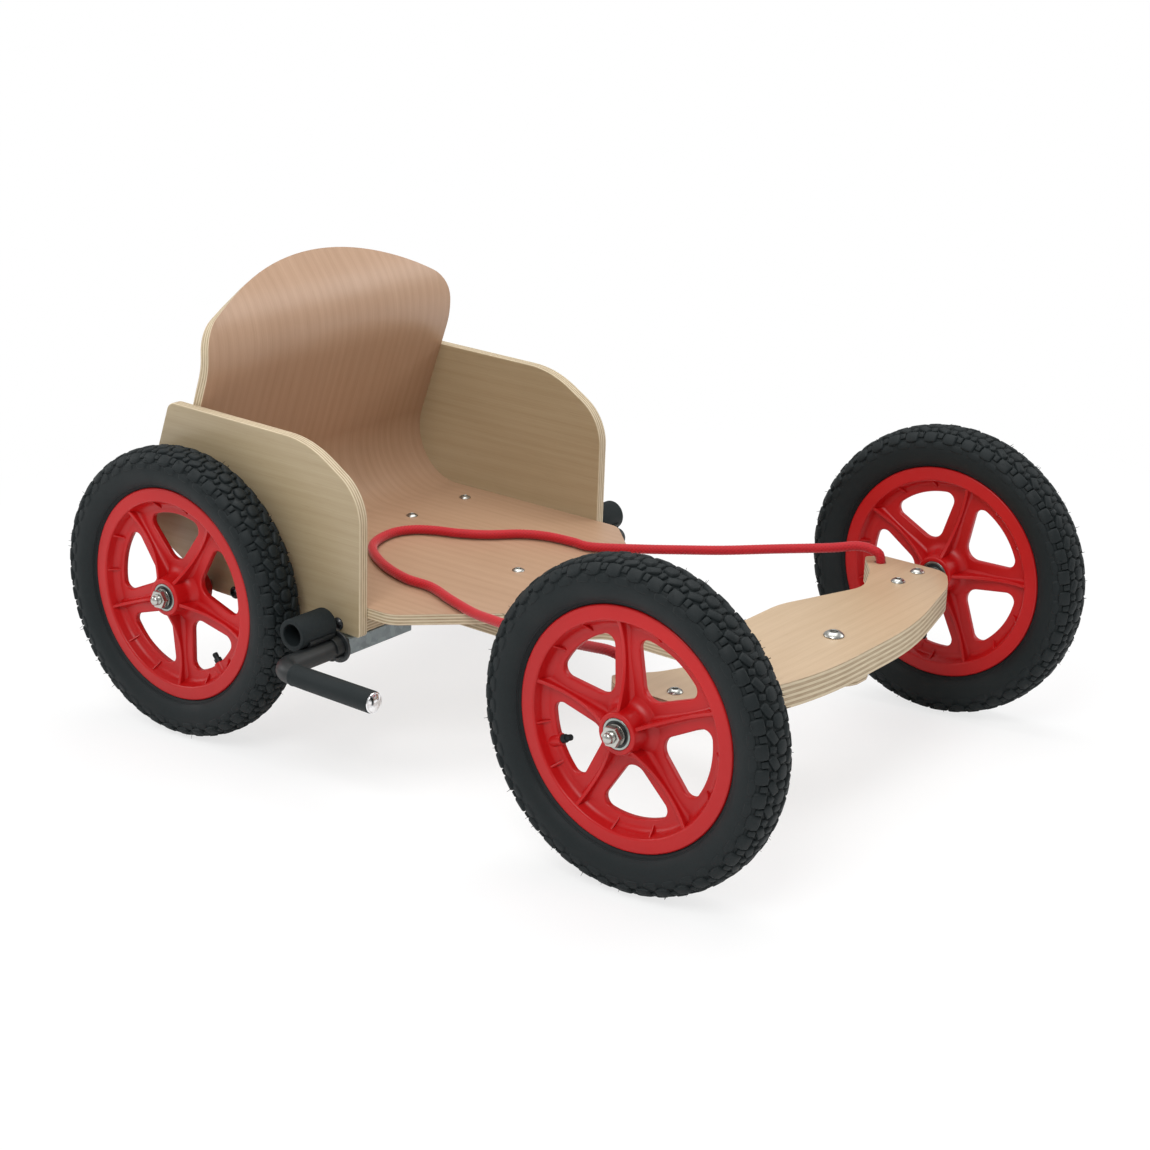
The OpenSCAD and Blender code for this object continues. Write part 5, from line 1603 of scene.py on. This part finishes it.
def draw_axle(bm, inner):
    """Axle from its inner end out past the hub: shoulder, threads and a domed tip."""
    shoulder = HUB_HALF + 0.2
    tip = HUB_HALF + 15.4
    profile = [(0, inner), (5.6, inner), (5.95, inner + 0.4), (5.95, shoulder - 0.4),
               (5.6, shoulder)]
    z = shoulder + 0.3
    while z < tip - 4.2:
        profile += [(4.55, z), (4.98, z + 0.4), (4.98, z + 0.6)]
        z += 1.0
    profile += [(4.5, tip - 3.4), (4.5, tip - 3.1)]
    profile += [(4.85 * math.cos(math.radians(a)), tip - 3.0 + 3.0 * math.sin(math.radians(a)))
                for a in (0, 15, 30, 45, 60, 75)] + [(0, tip)]
    lathe(bm, profile, 48)


def draw_spacer(bm, length):
    low, high = -HUB_HALF - length + 0.02, -HUB_HALF - 0.22
    lathe(bm, rounded([(6.1, low, 0), (8.5, low, 0.4), (8.5, high, 0.4), (6.1, high, 0)], 30), 48,
          closed=True)


class SOAPBOX_OT_hardware(bpy.types.Operator):
    """Fit the axles, spacers, nuts and bolts"""
    bl_idname = "soapbox.hardware"
    bl_label = "Axles and bolts"

    def execute(self, context):
        zinc = steel("Zinc plate", finish().zinc, 0.27)
        dull = steel("Dull steel", (0.23, 0.24, 0.25), 0.45)
        dark = black_plastic("Dark bolts", (0.008, 0.009, 0.010), 0.24)
        car = Matrix.Identity(4)
        for name, build, mat, body, slot in (
                ("seat_bolts", build_seat_bolts, zinc, "chassis", "zinc_steel"),
                ("panel_bolts", build_panel_bolts, dark, "chassis", "black_coated_steel"),
                ("axle_lock_bolts", build_lock_bolts, zinc, "steering", "zinc_steel"),
                ("pivot_bolt", build_pivot_bolt, zinc, "chassis", "zinc_steel"),
                ("pivot_nut", build_pivot_nut, zinc, "chassis", "zinc_steel")):
            piece(name + "_socket", build(), CHASSIS, body, mat, [name], sharp=30)
        for axle, body, spacer in (("rear", "chassis", REAR_SPACER),
                                   ("front", "steering", FRONT_SPACER)):
            piece(axle + "_hub_nuts", both_ends(axle, draw_nut), car, body, zinc,
                  [axle + "_axle_nuts"], sharp=30)
            piece(axle + "_hub_spacers", both_ends(axle, lambda bm: draw_spacer(bm, spacer)),
                  car, body, dull, [axle + "_spacers"])
        inner = -middle("hub_bearings_rear_left").y / MM
        piece("rear_axle_bar", both_ends("rear", lambda bm: draw_axle(bm, inner)), car,
              "chassis", zinc, ["rear_axle"])
        for side in SIDES:
            bm = bmesh.new()
            draw_axle(bm, -HUB_HALF - FRONT_SPACER - STUB_LEN)
            piece("front_stub_" + side, bm, wheel_place("front_" + side), "steering",
                  zinc, ["front_axle_" + side])
        nodes = frame["nodes"]
        for name, mat in (("rail_screws", zinc), ("brake_shaft", zinc),
                          ("thrust_washer", pale_plastic())):
            mesh = nodes[name].data
            mesh.materials.clear()
            mesh.materials.append(mat)
        return {"FINISHED"}


# Registration

OPERATORS = [SOAPBOX_OT_camera, SOAPBOX_OT_rope, SOAPBOX_OT_seat, SOAPBOX_OT_boards,
             SOAPBOX_OT_wheels, SOAPBOX_OT_brakes, SOAPBOX_OT_hardware, SOAPBOX_OT_stage]


class SOAPBOX_PT_panel(bpy.types.Panel):
    """Lists the car's builders in the order they run"""
    bl_idname = "SOAPBOX_PT_panel"
    bl_label = "Soapbox car"
    bl_space_type = "VIEW_3D"
    bl_region_type = "UI"
    bl_category = "Soapbox"

    def draw(self, context):
        layout = self.layout
        for operator in OPERATORS:
            layout.operator(operator.bl_idname)
        for group_ in (context.scene.soapbox_sizes, context.scene.soapbox_finish):
            for name in group_.bl_rna.properties.keys():
                if name not in ("rna_type", "name"):
                    layout.prop(group_, name)


CLASSES = [SoapboxSizes, SoapboxFinish, *OPERATORS, SOAPBOX_PT_panel]


def register():
    for cls in CLASSES:
        bpy.utils.register_class(cls)
    bpy.types.Scene.soapbox_sizes = PointerProperty(type=SoapboxSizes)
    bpy.types.Scene.soapbox_finish = PointerProperty(type=SoapboxFinish)


def unregister():
    del bpy.types.Scene.soapbox_sizes
    del bpy.types.Scene.soapbox_finish
    for cls in reversed(CLASSES):
        bpy.utils.unregister_class(cls)


def main():
    register()
    for operator in OPERATORS:
        section, name = operator.bl_idname.split(".")
        getattr(getattr(bpy.ops, section), name)()


if __name__ == "__main__":
    main()
